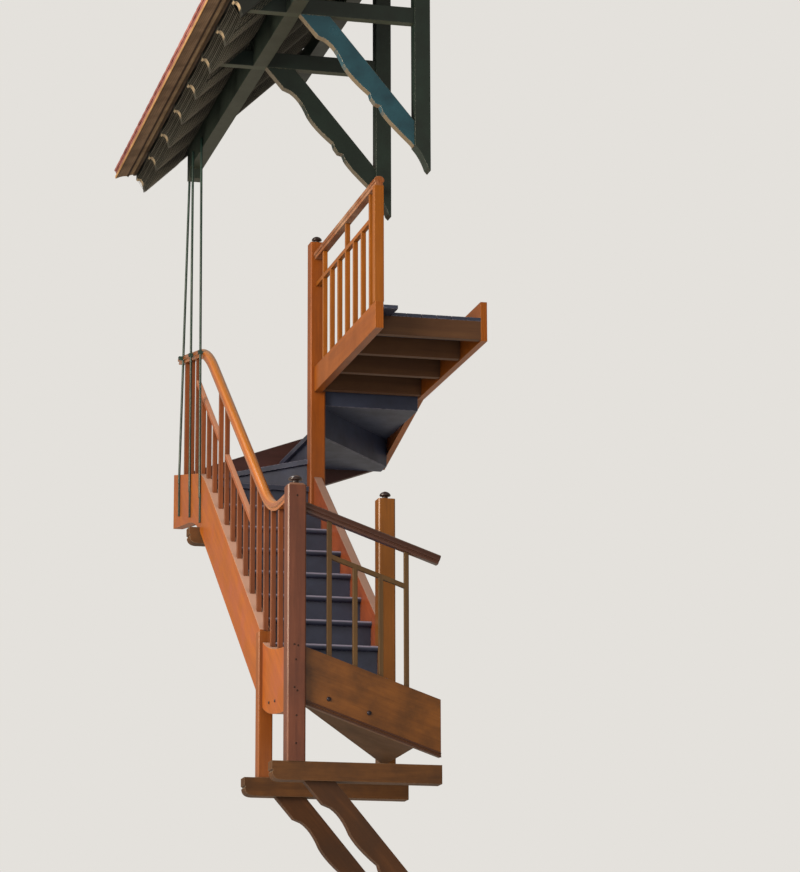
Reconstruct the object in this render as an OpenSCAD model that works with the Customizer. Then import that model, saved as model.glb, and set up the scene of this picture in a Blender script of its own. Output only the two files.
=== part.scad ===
// Timber escape stair on a wall: a turn of winders, one straight flight, a half turn of winders
// to an upper landing, three cantilever beams with cusped braces, and a tiled canopy over it.
// The wall face is the plane X = 0, the stair stands out along -X and climbs along +Y.
// The origin is the centre of the wall end of the front beam.

/* [Steps] */
// Rise of each step
riser = 190; // [170:1:205]
// Going of each straight step
going = 268; // [250:1:290]
// Number of straight steps
steps = 7; // [6:1:8]
// Thickness of treads
tread_t = 32; // [24:1:40]
// Thickness of riser boards
riser_t = 20; // [16:1:26]
// How far a tread stands out past its riser
nosing = 28; // [15:1:32]
// Where the first straight nosing lies along the wall
first_y = 715; // [690:5:760]
// Height of the doorway floor, from which the stair starts
door_floor = 264; // [240:1:300]

/* [Strings] */
// Outer face of the outer string, from the wall
string_out = 858; // [800:1:920]
// Thickness of the outer string
string_t = 62; // [45:1:70]
// Height of the outer string above the nosing line
string_above = 25; // [10:1:50]
// Depth of the outer string below the nosing line
string_below = 385; // [330:1:420]
// Thickness of the inner string
inner_t = 50; // [40:1:60]
// Height of the inner string above the nosing line
inner_above = 80; // [50:1:100]
// Slope of the front string, as a share of its run
front_slope = 0.351; // [0.30:0.001:0.38]
// Depth of the front string, measured upright
front_depth = 320; // [280:1:340]
// Height of the top of the front string at the wall
front_top = 420; // [400:1:450]
// Thickness of the front string
front_t = 50; // [40:1:60]

/* [Posts] */
// Width of the front newel
newel_w = 105; // [90:1:120]
// Centre of the front newel, from the wall
newel_out = 824; // [790:1:860]
// Height of the front newel above its beam
newel_h = 1555; // [1500:5:1650]
// Width of the rear post
post_w = 84; // [70:1:95]
// Width of the two inner newels
inner_w = 100; // [90:1:110]
// Centre of the inner newels, from the wall
inner_out = 124; // [110:1:140]
// Height of the lower inner newel above its beam
inner_h = 1652; // [1600:1:1700]
// Height of the tall newel above the landing
tall_above = 860; // [820:1:920]

/* [Beams] */
// Height of each cantilever beam
beam_h = 105; // [90:1:120]
// Width of each cantilever beam
beam_w = 100; // [80:1:110]
// Length of the two lower beams
beam_out = 960; // [920:1:1000]
// Length of the upper beam
upper_out = 925; // [900:1:960]
// Thickness of a brace plank
brace_t = 55; // [40:1:70]
// Reach of a brace from the wall
brace_reach = 775; // [720:5:800]

/* [Handrails] */
// Centre of the outer handrail above the nosing line
rail_above = 805; // [760:1:860]
// Width of a handrail
rail_w = 62; // [50:1:70]
// Depth of a handrail
rail_d = 58; // [48:1:66]
// Width of a square baluster
bar_w = 28; // [22:1:34]
// Distance between outer balusters
bar_pitch = 201; // [190:1:210]
// Height of the landing guard above the landing
guard_h = 800; // [760:1:900]
// Distance between landing balusters
guard_pitch = 212; // [190:1:230]
// Width of the slender front bars
front_bar_w = 25; // [18:1:30]

/* [Landing] */
// Thickness of landing boards
deck_t = 22; // [18:1:28]
// Depth of the landing string
guard_string_d = 165; // [150:1:190]
// Where the landing ends, towards the front
landing_y = 885; // [860:5:920]
// How far the upper turn runs past the tall newel
turn_depth = 1000; // [950:5:1050]

/* [Canopy] */
// Height of the underside of the canopy arms
arm_z = 4435; // [4380:5:4500]
// Depth of a canopy arm
arm_d = 95; // [85:1:110]
// Thickness of a canopy arm
arm_t = 60; // [50:1:70]
// Reach of a canopy arm
arm_out = 1113; // [1060:1:1140]
// Centre of the front arm along the wall
arm_y = 175; // [165:1:190]
// Distance between the two arms
arm_pitch = 957; // [940:1:970]
// Width of a wall post, out from the wall
wall_post_w = 93; // [80:1:100]
// Slope of the roof in degrees
roof_a = 43.5; // [40:0.5:46]
// Depth of the eaves plate
plate_d = 180; // [160:1:190]
// Width of the eaves plate
plate_w = 87; // [70:1:95]
// How deep the rafters are notched over the plate
seat = 15; // [10:1:20]
// How far the post at the end of the plate hangs below it
pendant = 67; // [50:1:80]
// Distance between rafters
rafter_pitch = 527; // [515:1:535]
// Width of a rafter
rafter_w = 50; // [40:1:55]
// Depth of a rafter
rafter_d = 150; // [140:1:160]
// Reach of the rafters, halfway along the roof
rafter_out = 1176; // [1170:1:1185]
// How much the eaves draw in towards the wall along the roof, in degrees
splay = 1.08; // [0.5:0.01:1.5]
// Diameter of a hanger rod
rod_d = 16; // [12:1:20]

/* [Hidden] */
$fn = 40;

timber = "peru";
painted = "darkslategray";
tread_paint = "slategray";
big = 4000;

pitch = riser / going;
beam_top = beam_h / 2;
first_top = door_floor + 3 * riser;
landing_top = first_top + (steps + 4) * riser;
string_in = string_out - string_t;
inner_face = inner_out + inner_t / 2;
newel_back = newel_w / 2;
lower_newel_y = first_y + 41;
post_front = lower_newel_y - post_w / 2;
post_back = lower_newel_y + post_w / 2;
top_y = first_y + steps * going;
tall_y = top_y + 16;
tall_top = landing_top + tall_above;
back_y = tall_y + turn_depth;
back_t = string_t;
far_x = string_in - 2 * inner_out;
upper_beam_y = tall_y + 158;
recess_y = landing_y + 165;
brace_drop = 900;
string_end_d = 366;
back_slope = 0.352;
wall_string_up = 100;
wall_string_d = 245;

function nose(y) = first_top + (y - first_y) * pitch;
function bend(a, b, c, n = 10) =
  [for (i = [0:n]) let (t = i / n) (1-t) * (1-t) * a + 2 * t * (1-t) * b + t * t * c];
function turn(list) = [for (i = [len(list)-1:-1:0]) list[i]];

// Where the raking line at height rise above the nosings meets a line through p with slope s
function meet_y(rise, p, s) = (p[1] - p[0] * s - first_top - rise + first_y * pitch) / (pitch - s);

// Top and bottom edges of the outer string, as points along Y and Z
string_end = [back_y + back_t, first_top + (steps + 1) * riser + 78];
top_turn_y = meet_y(string_above, string_end, 0.2);
string_top_line = concat(
  [[post_back, nose(post_back) + string_above]],
  bend([top_turn_y - 150, nose(top_turn_y - 150) + string_above],
       [top_turn_y, nose(top_turn_y) + string_above],
       [top_turn_y + 150, nose(top_turn_y) + string_above + 150 * 0.2]),
  [string_end]);
string_end_low = string_end - [0, string_end_d];
low_turn_y = meet_y(-string_below, string_end_low, 0.124);
string_low_line = concat(
  [[post_back, nose(post_back) - string_below]],
  bend([low_turn_y - 190, nose(low_turn_y - 190) - string_below],
       [low_turn_y, nose(low_turn_y) - string_below],
       [low_turn_y + 260, nose(low_turn_y) - string_below + 260 * 0.124]),
  [string_end_low]);
level_top = first_top - 130;
lower_top_line = bend([newel_back, level_top], [post_front - 220, level_top + 25],
                      [post_front, nose(post_front) + string_above - 30]);
lower_low_line = bend([newel_back, level_top - 358], [post_front - 190, level_top - 345],
                      [post_front, nose(post_front) - string_below + 5]);

// Centre line of the outer handrail, as points along Y and Z
rail_level = first_top + 735;
rail_turn_y = first_y + (rail_level - first_top - rail_above) / pitch;
rail_end = [back_y, string_end[1] + 775];
rail_top_turn_y = meet_y(rail_above, rail_end, 0.18);
rail_line = concat(
  [[newel_back, rail_level]],
  bend([rail_turn_y - 260, rail_level], [rail_turn_y, rail_level],
       [rail_turn_y + 260, nose(rail_turn_y + 260) + rail_above], 14),
  bend([rail_top_turn_y - 220, nose(rail_top_turn_y - 220) + rail_above],
       [rail_top_turn_y, nose(rail_top_turn_y) + rail_above],
       [rail_top_turn_y + 220, nose(rail_top_turn_y) + rail_above + 220 * 0.18], 14),
  [rail_end]);

mid_above = 455;
mid_h = 16;
first_bar_y = 400;
bar_count = floor((back_y - 20 - first_bar_y) / bar_pitch);
short_bars = [5, 6, 7, 10, 11, 12];
mid_spans = [[4, 8], [9, 13]];
bar_x = -newel_out + 2;

// The front rail and string fall towards the wall
function front_z(x, wall_z) = wall_z - x * front_slope;
front_rail_z = 1210;
front_mid_z = 985;
front_mid_h = 13;
front_bars_x = [630, 483, 336, 189];

// The canopy
roof_t = tan(roof_a);
plate_top = arm_z + plate_d;
plate_end_y = back_y - 305;
rafter_up = rafter_d / cos(roof_a);
board_t = 22;
board_up = board_t / cos(roof_a);
tile_t = 45;
tile_up = tile_t / cos(roof_a);
verge = 45;
rafters_first_y = -30;
roof_past = 120;
rafter_count = floor((back_y + roof_past - rafters_first_y) / rafter_pitch) + 1;
roof_front_y = rafters_first_y - verge;
roof_back_y = rafters_first_y + (rafter_count - 1) * rafter_pitch + verge;
roof_mid_y = (roof_front_y + roof_back_y) / 2;
function under_rafter(x) = plate_top - seat + (x + string_out) * roof_t;
function under_boards(x) = under_rafter(x) + rafter_up;
function over_boards(x) = under_boards(x) + board_up;
function foot_x(y) = -rafter_out + (y - roof_mid_y) * tan(splay);
post_top = under_rafter(-wall_post_w) - 120;

// A profile of Y and Z points carried from x0 to x1
module along_x(x0, x1) {
  translate([x0, 0, 0]) rotate([90, 0, 90]) linear_extrude(x1 - x0) children();
}

// A profile of X and Z points carried from y0 to y1
module along_y(y0, y1) {
  translate([0, y1, 0]) rotate([90, 0, 0]) linear_extrude(y1 - y0) children();
}

module upright(x, y, w, z0, z1, chamfer = 7) {
  c = w / 2;
  d = c - chamfer;
  translate([x, y, z0]) linear_extrude(z1 - z0)
    polygon([[c, d], [d, c], [-d, c], [-c, d], [-c, -d], [-d, -c], [d, -c], [c, -d]]);
}

// A turned button with a ball, which caps a newel
module finial(x, y, z, r) {
  translate([x, y, z]) rotate_extrude()
    polygon(concat([[0, 0], [r, 0], [r, 6], [r * 0.5, 12]],
      [for (a = [-50:20:90]) [r * 0.8 * cos(a), 12 + r * 0.62 + r * 0.8 * sin(a)]]));
}

// A beam whose free end is stepped and cut back below
module beam(y, z, reach) {
  h = beam_h / 2;
  along_y(y - beam_w / 2, y + beam_w / 2)
    polygon(concat([[0, z - h], [0, z + h], [-reach, z + h], [-reach, z + 8], [-reach + 10, z]],
      bend([-reach + 2, z - 8], [-reach + 6, z - h], [-reach + 60, z - h], 6)));
}

// The lower edge of a cusped brace, from its foot on the wall up to its tip
brace_line_reach = 775;
function cusp_line() = concat(
  [[0, -brace_drop], [-17, 18 - brace_drop]],
  bend([-17, 18 - brace_drop], [-45, 100 - brace_drop], [-118, 175 - brace_drop], 6),
  bend([-118, -725], [-255, -600], [-283, -552], 6),
  [[-296, -520], [-325, -512], [-350, -478], [-358, -450]],
  bend([-362, -446], [-470, -360], [-515, -285], 6),
  bend([-515, -285], [-560, -180], [-622, -142], 6),
  [[-668, -124], [-775, 0]]);

// A brace seen along the wall: straight upper edge, cusped lower edge
module brace_outline(top_z, reach) {
  k = reach / brace_line_reach;
  translate([0, top_z]) polygon(concat([for (p = cusp_line()) [p[0] * k, p[1]]],
    [[-598 * k, 0], [0, -709]]));
}

module brace_plank(y, top_z, reach, foot_x) {
  intersection() {
    along_y(y - brace_t / 2, y + brace_t / 2) brace_outline(top_z, reach);
    translate([-big, y - brace_t, top_z - big]) cube([big - foot_x, 2 * brace_t, big]);
  }
}

// A moulded handrail section swept along a line of [run, height] points with plumb cuts
rail_section = concat(
  [for (a = [0:22.5:180]) [cos(a) * rail_w / 2, 4 + sin(a) * (rail_d / 2 - 4)]],
  [[-rail_w / 2, -6], [-rail_w / 2 + 9, -14], [-rail_w / 2 + 9, -rail_d / 2],
   [rail_w / 2 - 9, -rail_d / 2], [rail_w / 2 - 9, -14], [rail_w / 2, -6]]);
module rail_sweep(line) {
  n = len(rail_section);
  m = len(line);
  lift = [for (i = [0:m-1]) let (a = line[max(i-1, 0)], b = line[min(i+1, m-1)])
    1 / cos(atan2(b[1] - a[1], b[0] - a[0]))];
  points = [for (i = [0:m-1]) for (p = rail_section) [p[0], line[i][0], line[i][1] + p[1] * lift[i]]];
  sides = [for (i = [0:m-2]) for (j = [0:n-1]) let (k = (j+1) % n)
    [i*n + j, i*n + k, (i+1)*n + k, (i+1)*n + j]];
  polyhedron(points, concat(sides, [[for (j = [n-1:-1:0]) j]], [[for (j = [0:n-1]) (m-1)*n + j]]));
}

// Half of the plan on the lower side or the upper side of a riser line through the pivot
module below_line(a, off) {
  rotate(a) translate([-big, off]) square([2 * big, 2 * big]);
}
module above_line(a, off) {
  rotate(a) translate([-big, off - 2 * big]) square([2 * big, 2 * big]);
}

// Plan of one winder tread between the riser lines at angles a and b
module winder_plan(pivot, a, b) {
  translate(pivot) intersection() {
    above_line(a, nosing);
    below_line(b, 0);
  }
}
module winder_riser_plan(pivot, a) {
  translate(pivot) rotate(a) translate([0, -riser_t]) square([big, riser_t]);
}

module newel_hole(y, w = inner_w) {
  translate([-inner_out - w / 2, y - w / 2]) square(w);
}

lower_pivot = [-inner_out, lower_newel_y - 13];
upper_pivot = [-inner_out, tall_y + 12];
lower_lines = [270, 225, 180];
upper_lines = [180, 128, 90, 52, 0];

// The floor area inside the strings at the lower and the upper turn
module lower_area(from_x) {
  difference() {
    translate([-string_in, front_t / 2]) square([string_in + from_x, lower_pivot[1] - front_t / 2]);
    newel_hole(lower_newel_y);
    translate([-newel_out - newel_back, -newel_back]) square(newel_w);
  }
}
module upper_area() {
  difference() {
    translate([-string_in, top_y]) square([string_in + far_x, back_y - top_y]);
    newel_hole(tall_y);
    translate([-inner_out - inner_t / 2, top_y - 1]) square([inner_t, tall_y - top_y]);
    translate([-inner_out + inner_t / 2 - 1, top_y - 1]) square([big, tall_y - top_y - nosing]);
  }
}

module front_beam() { color(timber) beam(0, 0, beam_out); }
module rear_beam() { color(timber) beam(lower_newel_y, 0, beam_out); }
upper_beam_z = nose(upper_beam_y - beam_w / 2) - string_below + 25 - beam_h / 2;
module upper_beam() { color(timber) beam(upper_beam_y, upper_beam_z, upper_out); }

module knee_braces() {
  color(timber) {
    brace_plank(0, -beam_top, brace_reach, 0);
    brace_plank(lower_newel_y, -beam_top, brace_reach, 0);
    brace_plank(upper_beam_y, upper_beam_z - beam_top, brace_reach, 0);
  }
}

module front_newel() {
  color(timber) {
    upright(-newel_out, 0, newel_w, beam_top, beam_top + newel_h - 12);
    translate([-newel_out, 0, beam_top + newel_h - 12])
      linear_extrude(12, scale = 0.8) square(newel_w - 14, center = true);
    finial(-newel_out, 0, beam_top + newel_h, 14);
  }
}
module rear_post() {
  x = -string_in - post_w / 2;
  color(timber) {
    upright(x, lower_newel_y, post_w, beam_top, nose(lower_newel_y) + string_above + 5, 5);
  }
}
module inner_newel() {
  color(timber) {
    upright(-inner_out, lower_newel_y, inner_w, beam_top, beam_top + inner_h);
    finial(-inner_out, lower_newel_y, beam_top + inner_h, 22);
  }
}
module tall_newel() {
  color(timber) {
    upright(-inner_out, tall_y, inner_w, nose(tall_y) - string_below - 60, tall_top);
    finial(-inner_out, tall_y, tall_top, 24);
  }
}

module outer_string() {
  color(timber) difference() {
    along_x(-string_out, -string_in) polygon(concat(string_top_line, turn(string_low_line)));
    translate([-string_out - 1, upper_beam_y - beam_w / 2, 0])
      cube([string_t + 2, beam_w, upper_beam_z + beam_h / 2]);
  }
}
module lower_string() {
  color(timber) along_x(-string_out, -string_in)
    polygon(concat(lower_top_line, turn(lower_low_line)));
}
module front_string() {
  x = -newel_out + newel_back;
  color(timber) along_y(-front_t / 2, front_t / 2)
    polygon([[0, front_top], [0, front_top - front_depth], [x, front_z(x, front_top) - front_depth],
             [x, front_z(x, front_top)]]);
}
module inner_string() {
  y0 = lower_newel_y + inner_w / 2;
  y1 = tall_y - inner_w / 2;
  color(timber) along_x(-inner_out - inner_t / 2, -inner_out + inner_t / 2)
    polygon([[y0, nose(y0) + inner_above], [y1, nose(y1) + inner_above],
             [y1, nose(y1) - string_below + 60], [y0, nose(y0) - string_below + 60]]);
}
module back_string() {
  z0 = string_end[1];
  z1 = z0 + (string_in + far_x) * back_slope;
  color(timber) along_y(back_y, back_y + back_t)
    polygon([[-string_in, z0], [far_x, z1], [far_x, z1 - string_end_d], [-string_in, z0 - string_end_d]]);
}
module wall_string() {
  top = landing_top + wall_string_up;
  z1 = string_end[1] + (string_in + far_x) * back_slope;
  color(timber) along_x(far_x, far_x + 40)
    polygon([[recess_y, top], [tall_y, top], [back_y + back_t, z1], [back_y + back_t, z1 - string_end_d],
             [tall_y, top - wall_string_d], [recess_y, top - wall_string_d]]);
}
module landing_string() {
  color(timber) translate([-inner_out - inner_t / 2, landing_y, landing_top + 20 - guard_string_d])
    cube([inner_t, tall_y - inner_w / 2 - landing_y, guard_string_d]);
}

module threshold_board() {
  color(tread_paint) translate([0, 0, door_floor - deck_t]) linear_extrude(deck_t) difference() {
    translate([-inner_out, front_t / 2]) square([inner_out, lower_pivot[1] - front_t / 2]);
    newel_hole(lower_newel_y);
  }
}
module lower_winder_treads() {
  color(tread_paint) for (i = [0:1])
    translate([0, 0, door_floor + (i + 1) * riser - tread_t]) linear_extrude(tread_t)
      intersection() {
        winder_plan(lower_pivot, lower_lines[i], lower_lines[i+1]);
        lower_area(-inner_out + nosing);
      }
}
module lower_winder_risers() {
  color(tread_paint) for (i = [0:1]) {
    low = door_floor + i * riser - (i == 0 ? deck_t : tread_t);
    translate([0, 0, low]) linear_extrude(door_floor + (i + 1) * riser - tread_t - low)
      intersection() {
        winder_riser_plan(lower_pivot, lower_lines[i]);
        lower_area(-inner_out);
      }
  }
}
soffit_low = 140;
module winder_soffit() {
  x0 = -newel_out + newel_back;
  x1 = -inner_out - riser_t - 2;
  y0 = front_t / 2;
  y1 = lower_newel_y - inner_w / 2 - 2;
  low = [[x0, y0, front_z(x0, front_top) - front_depth], [x1, y0, front_z(x1, front_top) - front_depth],
         [x1, y1, soffit_low], [-string_in, y1, door_floor + 2 * riser - tread_t - 20]];
  up = [for (p = low) p + [0, 0, 16]];
  color(timber) polyhedron(concat(low, up), [[0, 1, 2], [0, 2, 3], [4, 6, 5], [4, 7, 6],
    [0, 4, 5, 1], [1, 5, 6, 2], [2, 6, 7, 3], [3, 7, 4, 0]]);
}

module straight_treads() {
  color(tread_paint) for (i = [0:steps-1]) {
    y = first_y + i * going;
    z = first_top + i * riser;
    difference() {
      along_x(-string_in, -inner_face) {
        translate([y + tread_t / 2, z - tread_t]) square([going + nosing - tread_t / 2, tread_t]);
        translate([y + tread_t / 2, z - tread_t / 2]) circle(d = tread_t);
      }
      if (i == 0)
        translate([0, 0, z - tread_t - 1]) linear_extrude(tread_t + 2) {
          newel_hole(lower_newel_y);
        }
    }
  }
}
module straight_risers() {
  color(tread_paint) for (i = [0:steps-1]) {
    y = first_y + i * going + nosing;
    z = first_top + i * riser;
    difference() {
      translate([-string_in, y, z - riser - tread_t])
        cube([string_in - inner_face, riser_t, riser]);
      if (i == 0)
        translate([0, 0, z - riser - tread_t - 1]) linear_extrude(riser + 2) {
          newel_hole(lower_newel_y);
        }
    }
  }
}

module upper_winder_treads() {
  color(tread_paint) for (i = [0:3])
    translate([0, 0, first_top + (steps + i) * riser - tread_t]) linear_extrude(tread_t)
      intersection() {
        winder_plan(upper_pivot, upper_lines[i], upper_lines[i+1]);
        upper_area();
      }
}
module upper_winder_risers() {
  color(tread_paint) for (i = [0:4]) {
    z = first_top + (steps + i) * riser - tread_t;
    translate([0, 0, z - riser]) linear_extrude(i == 4 ? riser + tread_t - deck_t : riser)
      intersection() {
        winder_riser_plan(upper_pivot, upper_lines[i]);
        upper_area();
      }
  }
}

board_gap = 4;
deck_count = 7;
deck_w = (far_x + inner_out - inner_t / 2 - (deck_count - 1) * board_gap) / deck_count;
module landing_boards() {
  x0 = -inner_out + inner_t / 2;
  end = upper_pivot[1] + nosing;
  color(tread_paint) for (i = [0:deck_count-1]) {
    start = i == 0 ? landing_y : recess_y;
    difference() {
      translate([x0 + i * (deck_w + board_gap), start, landing_top - deck_t])
        cube([deck_w, end - start, deck_t]);
      translate([0, 0, landing_top - deck_t - 1]) linear_extrude(deck_t + 2) newel_hole(tall_y);
    }
  }
}
joist_t = 50;
joist_d = 115;
module landing_joists() {
  x0 = -inner_out + inner_t / 2;
  step = (tall_y - inner_w / 2 - joist_t - recess_y) / 3;
  color(timber) for (i = [0:3])
    translate([x0, recess_y + i * step, landing_top - deck_t - joist_d]) cube([far_x - x0, joist_t, joist_d]);
}

module outer_handrail() {
  color("sienna") translate([bar_x, 0, 0]) rail_sweep(rail_line);
}
module bar_between(y, w, z0a, z0b, z1a, z1b) {
  along_x(bar_x - w / 2, bar_x + w / 2)
    polygon([[y - w / 2, z0a], [y + w / 2, z0b], [y + w / 2, z1b], [y - w / 2, z1a]]);
}
string_tops = concat(lower_top_line, [[post_back - 1, nose(post_back - 1) + string_above]],
  string_top_line);
function string_z(y) = lookup(y, string_tops);
function rail_under(y) = let (s = (lookup(y + 1, rail_line) - lookup(y - 1, rail_line)) / 2)
  lookup(y, rail_line) - (rail_d / 2) * sqrt(1 + s * s);
module outer_balusters() {
  h = bar_w / 2;
  color(timber) for (i = [0:bar_count]) {
    y = first_bar_y + i * bar_pitch;
    short = len([for (k = short_bars) if (k == i) k]) > 0;
    bar_between(y, bar_w, string_z(y - h), string_z(y + h),
      short ? nose(y - h) + mid_above - mid_h : rail_under(y - h),
      short ? nose(y + h) + mid_above - mid_h : rail_under(y + h));
  }
}
module outer_mid_rails() {
  color(timber) for (s = mid_spans) {
    y0 = first_bar_y + s[0] * bar_pitch + bar_w / 2;
    y1 = first_bar_y + s[1] * bar_pitch - bar_w / 2;
    along_x(bar_x - bar_w / 2, bar_x + bar_w / 2)
      polygon([[y0, nose(y0) + mid_above - mid_h], [y1, nose(y1) + mid_above - mid_h],
               [y1, nose(y1) + mid_above + mid_h], [y0, nose(y0) + mid_above + mid_h]]);
  }
}

module front_handrail() {
  x = newel_out - newel_back;
  color("saddlebrown") rotate(90) rail_sweep([[0, front_rail_z], [x, front_rail_z + x * front_slope]]);
}
module front_bars() {
  h = front_bar_w / 2;
  last = len(front_bars_x) - 1;
  rail_low = rail_d / 2 * sqrt(1 + front_slope * front_slope);
  color(timber) {
    for (i = [0:last]) {
      x = -front_bars_x[i];
      top = i == 0 || i == last ? front_rail_z - rail_low : front_mid_z - front_mid_h;
      along_y(-h, h) polygon([[x - h, front_z(x - h, front_top)], [x + h, front_z(x + h, front_top)],
        [x + h, front_z(x + h, top)], [x - h, front_z(x - h, top)]]);
    }
    x0 = -front_bars_x[0] + h;
    x1 = -front_bars_x[last] - h;
    low = front_mid_z - front_mid_h;
    high = front_mid_z + front_mid_h;
    along_y(-h, h) polygon([[x0, front_z(x0, low)], [x1, front_z(x1, low)],
      [x1, front_z(x1, high)], [x0, front_z(x0, high)]]);
  }
}

guard_rail_z = landing_top + guard_h - rail_d / 2;
guard_mid_z = landing_top + 575;
guard_y1 = tall_y - inner_w / 2;
module landing_handrail() {
  color("sienna") translate([-inner_out, 0, 0])
    rail_sweep([[landing_y, guard_rail_z], [guard_y1, guard_rail_z]]);
}
guard_count = 7;
guard_first_y = guard_y1 - 197;
module landing_balusters() {
  low = landing_top + 20;
  color(timber) {
    for (i = [0:guard_count-1]) {
      y = guard_first_y - i * guard_pitch;
      top = i % 3 == 0 ? guard_rail_z - rail_d / 2 : guard_mid_z - 13;
      translate([-inner_out - bar_w / 2, y - bar_w / 2, low]) cube([bar_w, bar_w, top - low]);
    }
    translate([-inner_out - bar_w, landing_y, low])
      cube([2 * bar_w, 2 * bar_w, guard_rail_z - rail_d / 2 - low]);
  }
}
module landing_mid_rail() {
  color(timber) for (s = [[-1, 0], [0, 3], [3, 6]]) {
    y1 = s[0] < 0 ? guard_y1 : guard_first_y - s[0] * guard_pitch - bar_w / 2;
    y0 = guard_first_y - s[1] * guard_pitch + bar_w / 2;
    translate([-inner_out - bar_w / 2, y0, guard_mid_z - 13]) cube([bar_w, y1 - y0, 26]);
  }
}

// Each rod: where it stands along the wall at its foot and at its head
rods = [[tall_y + 80, tall_y + 147], [tall_y + 440, tall_y + 449], [tall_y + 828, tall_y + 783]];
rod_feet = [-150, -120, -60];
rod_x = -string_out - rod_d / 2;
rod_head_z = arm_z + 65;
module rod(a, b) {
  v = b - a;
  translate(a) rotate([0, atan2(norm([v[0], v[1]]), v[2]), atan2(v[1], v[0])])
    cylinder(d = rod_d, h = norm(v));
}
module hanger_rods() {
  crank_x = -string_out + 2 * rod_d;
  color(painted) {
    for (i = [0:1])
      rod([rod_x, rods[i][0], string_z(rods[i][0]) + rod_feet[i]], [rod_x, rods[i][1], rod_head_z]);
    rod([rod_x, rods[2][0], string_z(rods[2][0]) + rod_feet[2]], [crank_x, rods[2][1], rod_head_z - 40]);
    rod([crank_x, rods[2][1] + rod_d / 2, rod_head_z - 40], [crank_x, plate_end_y, rod_head_z - 40]);
  }
}

module wall_post(y) {
  w = wall_post_w;
  foot = arm_z - brace_drop;
  along_y(y - 45, y + 45)
    polygon(concat([[0, post_top], [-w, post_top], [-w, foot + 150]],
      bend([-w, foot + 150], [-45, foot + 100], [-17, foot + 18], 6), [[0, foot]]));
}
module wall_posts() {
  color(painted) {
    wall_post(arm_y);
    wall_post(arm_y + arm_pitch);
  }
}
module arm(y) {
  along_y(y - arm_t / 2, y + arm_t / 2)
    polygon([[-wall_post_w, arm_z], [-wall_post_w, arm_z + arm_d],
      [-arm_out, min(arm_z + arm_d, under_boards(-arm_out))], [-arm_out, arm_z]]);
}
module canopy_arms() {
  color(painted) {
    arm(arm_y);
    arm(arm_y + arm_pitch);
  }
}
module front_brace() { color("teal") brace_plank(arm_y, arm_z, brace_reach, wall_post_w); }
module rear_brace() { color(painted) brace_plank(arm_y + arm_pitch, arm_z, brace_reach, wall_post_w); }

module plate_run(y0, y1, low = 0) {
  along_y(y0, y1)
    polygon([[-string_out, arm_z - low], [-string_out, plate_top], [-string_out + plate_w, plate_top],
             [-string_out + plate_w, arm_z - low]]);
}
module eaves_plate() {
  color(painted) {
    plate_run(roof_front_y, arm_y - arm_t / 2);
    plate_run(arm_y + arm_t / 2, arm_y + arm_pitch - arm_t / 2);
    plate_run(arm_y + arm_pitch + arm_t / 2, plate_end_y - plate_w);
    plate_run(plate_end_y - plate_w, plate_end_y, pendant);
  }
}
module wall_plate() {
  w = wall_post_w;
  color(painted) along_y(roof_front_y, roof_back_y)
    polygon([[0, post_top], [0, under_rafter(0)], [-w, under_rafter(-w)], [-w, post_top]]);
}

// Each rafter has a plumb end cut and an ogee below it that swells to the full depth
module rafters() {
  h = rafter_w / 2;
  color(painted) for (i = [0:rafter_count-1]) {
    y = rafters_first_y + i * rafter_pitch;
    x = foot_x(y);
    z = under_rafter(x);
    difference() {
      along_y(y - h, y + h)
        polygon(concat([[0, under_boards(0)], [x, under_boards(x)], [x, z + 140], [x + 10, z + 132]],
          bend([x + 12, z + 138], [x + 36, z + 138], [x + 44, z + 96], 6),
          [[x + 52, z + 55], [0, under_rafter(0)]]));
      if (y < plate_end_y) plate_run(y - rafter_w, y + rafter_w);
    }
  }
}

// A layer of the roof with its profile in X and Z, which meets the wall and follows the splayed eaves
module roof_layer(profile) {
  n = len(profile);
  points = [for (y = [roof_front_y, roof_back_y]) for (p = profile)
    let (s = p[0] < 0 ? (y - roof_mid_y) * tan(splay) : 0) [p[0] + s, y, p[1] + s * roof_t]];
  sides = [for (j = [0:n-1]) let (k = (j+1) % n) [j, k, n + k, n + j]];
  polyhedron(points, concat(sides, [[for (j = [n-1:-1:0]) j]], [[for (j = [0:n-1]) n + j]]));
}
fit = 0.3;
board_end = rafter_out + 8;
eaves_end = rafter_out + 142;
module roof_boards() {
  x = -board_end;
  color("dimgray") roof_layer([[0, under_boards(0)], [0, over_boards(0)], [x, over_boards(x)],
    [x, under_boards(x)]]);
}

// The moulded board that closes the eaves and lifts the lowest tiles lies along their splayed line
module eaves_board() {
  b = rafter_out - board_end - fit;
  o = rafter_out - eaves_end;
  half = (roof_back_y - roof_front_y) / 2 - 4;
  color("saddlebrown") translate([-rafter_out, roof_mid_y, under_boards(-rafter_out)])
    rotate([atan(roof_t * sin(splay)), 0, -splay]) along_y(-half, half)
      polygon(concat([[0, -fit], [0, -29], [-18, -33], [-20, -26]],
        bend([-24, -26], [-48, -27], [-52, -43], 5),
        [[-58, -43], [-60, -38]],
        bend([-64, -38], [-96, -37], [o + 4, -60], 5),
        [[o, -57], [o, -41], [b, b * roof_t + board_up], [b, b * roof_t - fit]]));
}
module roof_tiles() {
  b = -board_end - 12;
  o = -eaves_end - 12;
  lip = over_boards(b) - 55;
  color("indianred") roof_layer([[0, over_boards(0)], [0, over_boards(0) + tile_up],
    [b + 30, over_boards(b + 30) + tile_up], [o, lip + 36], [o, lip], [b, over_boards(b) + 8],
    [b + 14, over_boards(b + 14)]]);
}

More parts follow.
